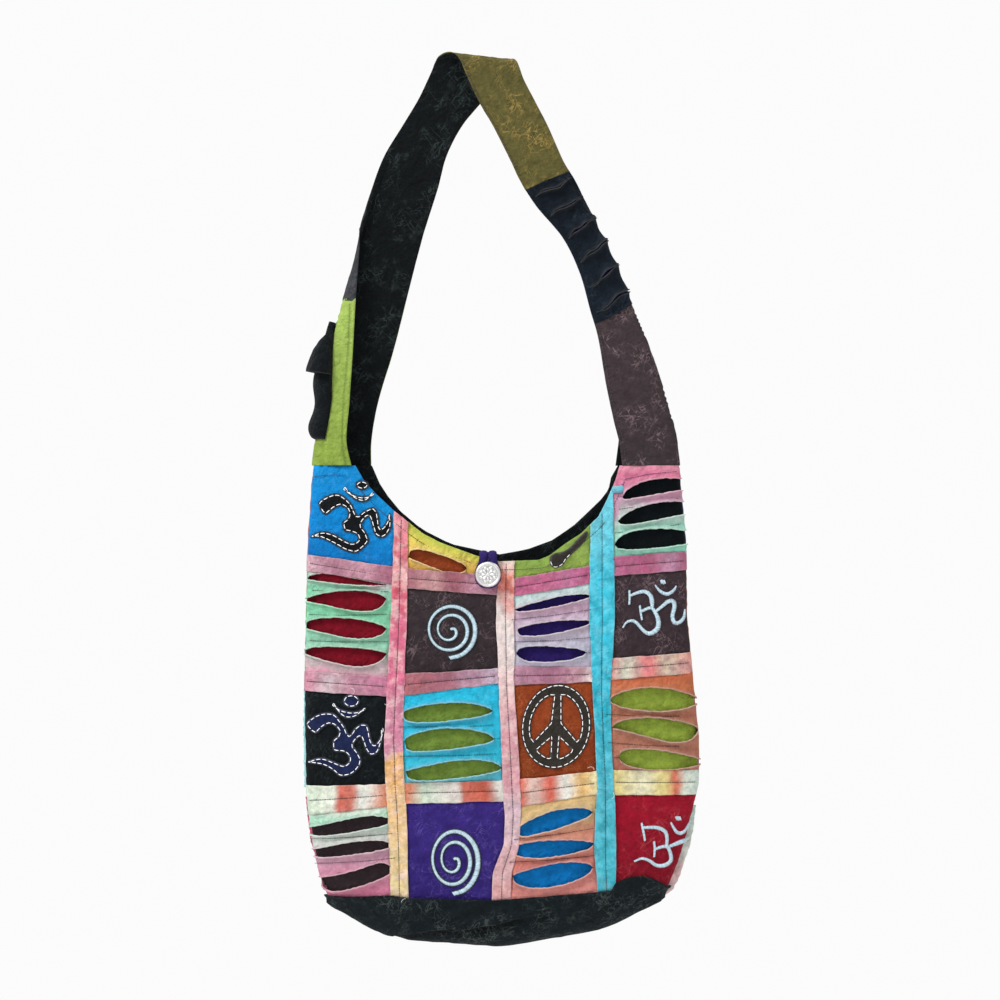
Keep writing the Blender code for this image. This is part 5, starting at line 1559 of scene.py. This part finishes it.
def make_seams():
    """The machine stitches: down the strips, across the slashed patches, round the neckline and along the strap."""
    dark = thread_material("machine_thread", (44, 40, 48), 0.1)
    rows = []
    for number in (1, 3, 5):
        rows.append([lifted(pouch, number + 0.5, lerp(1.02, BANDS - 0.05, k / 160), 0.0028) for k in range(161)])
        rows.append([lifted(pouch, RING - number - 0.5, lerp(1.02, BANDS - 0.05, k / 160), 0.0028)
                     for k in range(161)])
    for column in range(4):
        for low in (2, 4, 6):
            rows.append([lifted(pouch, lerp(2 * column + 0.04, 2 * column + 0.96, k / 50), low + 0.5, 0.0025)
                         for k in range(51)])
        for row in (1.96, 2.5, 3.04, 3.96, 4.5, 5.04, 5.96, 6.5, 7.04):
            rows.append([lifted(pouch, RING - lerp(2 * column + 0.02, 2 * column + 0.98, k / 50), row, 0.0023)
                         for k in range(51)])
    for name, first, low, dye, under, table in SLASHED_PATCHES:
        levels = [(slash[1] + slash[3]) / 2 for slash in table]
        tilts = [(slash[3] - slash[1]) / 2 for slash in table]
        for k in range(len(table) - 1):
            y, tilt = (levels[k] + levels[k + 1]) / 2, (tilts[k] + tilts[k + 1]) / 2
            left, right = table[k][0] - 4, table[k][2] + 3
            if first == 6:
                right = min(table[k][2], 681)
            if first == 0:
                left = table[k][0] + 4
            rows.append(front_line(((left, y - tilt), ((left + right) / 2, y + 0.8), (right, y + tilt)), 0.0034))
    neck = [(place * PHOTO_WIDE + PHOTO_MIDDLE, PHOTO_BOTTOM - height * PHOTO_HIGH)
            for place, height in FRONT_NECKLINE]
    lower = []
    for k, (x, y) in enumerate(neck):
        before, after = neck[max(k - 1, 0)], neck[min(k + 1, len(neck) - 1)]
        run = Vector((after[0] - before[0], after[1] - before[1])).normalized()
        lower.append((x - run.y * 8.5, y + run.x * 8.5))
    rows.append(front_line(lower[1:7], 0.0030))
    rows.append(front_line(lower[7:-1], 0.0030))
    rows.append(front_line(((313, 477), (330, 475.5), (346, 476.5)), 0.0029))
    rows.append(front_line(((626, 480), (650, 475), (679, 472)), 0.0034))
    stitched("machine_stitches", rows, 0.0024, 0.0007, 0.00030, dark, rise=0.0002)
    green = thread_material("green_thread", (96, 124, 60), 0.1)
    side = [[lifted(strap, 0.945, lerp(0.05, 3.95, k / 120), 0.0017) for k in range(121)]]
    stitched("strap_stitches", side, 0.0024, 0.0008, 0.00030, green)
    grey = thread_material("grey_thread", (64, 60, 62), 0.1)
    side = [[lifted(strap, width, lerp(start, end, k / 200), 0.0017) for k in range(201)]
            for width, start, end in ((0.965, 16.0, 20.9), (0.965, 25.5, 29.9))]
    stitched("limb_stitches", side, 0.0024, 0.0008, 0.00028, grey)


def make_threads():
    """Loose ends of white thread at the seams."""
    white = thread_material("loose_thread", (236, 232, 226), 0.1)
    points, faces = [], []
    for x, y, lean in ((352, 694, 0.3), (384, 704, -1.2), (594, 770, 1.0), (397, 790, 0.6), (514, 668, 2.0),
                       (611, 798, -0.6), (407, 900, 1.6)):
        start = on_front(x, y, 0.0030)
        route = []
        for k in range(9):
            share = k / 8
            bend = lean + 1.8 * share
            route.append(start + Vector((math.cos(bend), -0.35 * math.sin(math.pi * share), math.sin(bend))) * 0.006
                         * share)
        add_tube(points, faces, route, [0.00016] * 9, 5)
    finish(new_mesh("loose_threads", points, faces), "loose_threads", white)


def make_studio():
    """A pale floor below the hanging bag, soft lights all round and the camera at the photograph's angle."""
    floor_z, reach = -1.20, 1.7
    nodes = Nodes("floor", 0.9)
    nodes.join(nodes.mix(nodes.noise(3, 2), (0.84, 0.84, 0.84), (0.87, 0.87, 0.87)), nodes.shader.inputs["Base Color"])
    turns = [2 * math.pi * k / 96 for k in range(96)]
    mesh = bpy.data.meshes.new("floor")
    mesh.from_pydata([(reach * math.cos(turn), reach * math.sin(turn), floor_z) for turn in turns], [],
                     [tuple(range(96))])
    mesh.materials.append(nodes.material)
    floor = bpy.data.objects.new("floor", mesh)
    bpy.context.scene.collection.objects.link(floor)
    world = bpy.data.worlds.new("studio")
    bpy.context.scene.world = world
    world.use_nodes = True
    world.node_tree.nodes["Background"].inputs["Color"].default_value = (1.0, 1.0, 1.0, 1)
    world.node_tree.nodes["Background"].inputs["Strength"].default_value = 0.97
    for name, place, size, power in (("key", (-1.5, -1.2, 1.3), 0.7, 58), ("top", (0.0, -0.5, 1.8), 1.2, 10),
                                     ("back", (0.8, 1.8, 1.0), 1.2, 12)):
        light = bpy.data.lights.new(name, "AREA")
        light.shape = "DISK"
        light.size = size
        light.energy = power
        lamp = bpy.data.objects.new(name, light)
        lamp.location = place
        lamp.rotation_euler = (Vector((0.02, 0, -0.45)) - Vector(place)).to_track_quat("-Z", "Y").to_euler()
        bpy.context.scene.collection.objects.link(lamp)
    lens_data = bpy.data.cameras.new("camera")
    lens_data.lens = 112.5
    lens_data.sensor_width = 36
    camera = bpy.data.objects.new("camera", lens_data)
    camera.location = (0.019, -3.0, -0.427)
    camera.rotation_euler = (math.pi / 2, 0, 0)
    bpy.context.scene.collection.objects.link(camera)
    bpy.context.scene.camera = camera
    bpy.context.scene.view_settings.view_transform = "Standard"


make_patchwork()
lining_material = make_base()
make_strap(lining_material)
make_pocket()
make_side_edges()
make_button()
make_motifs()
make_seams()
make_threads()
make_studio()
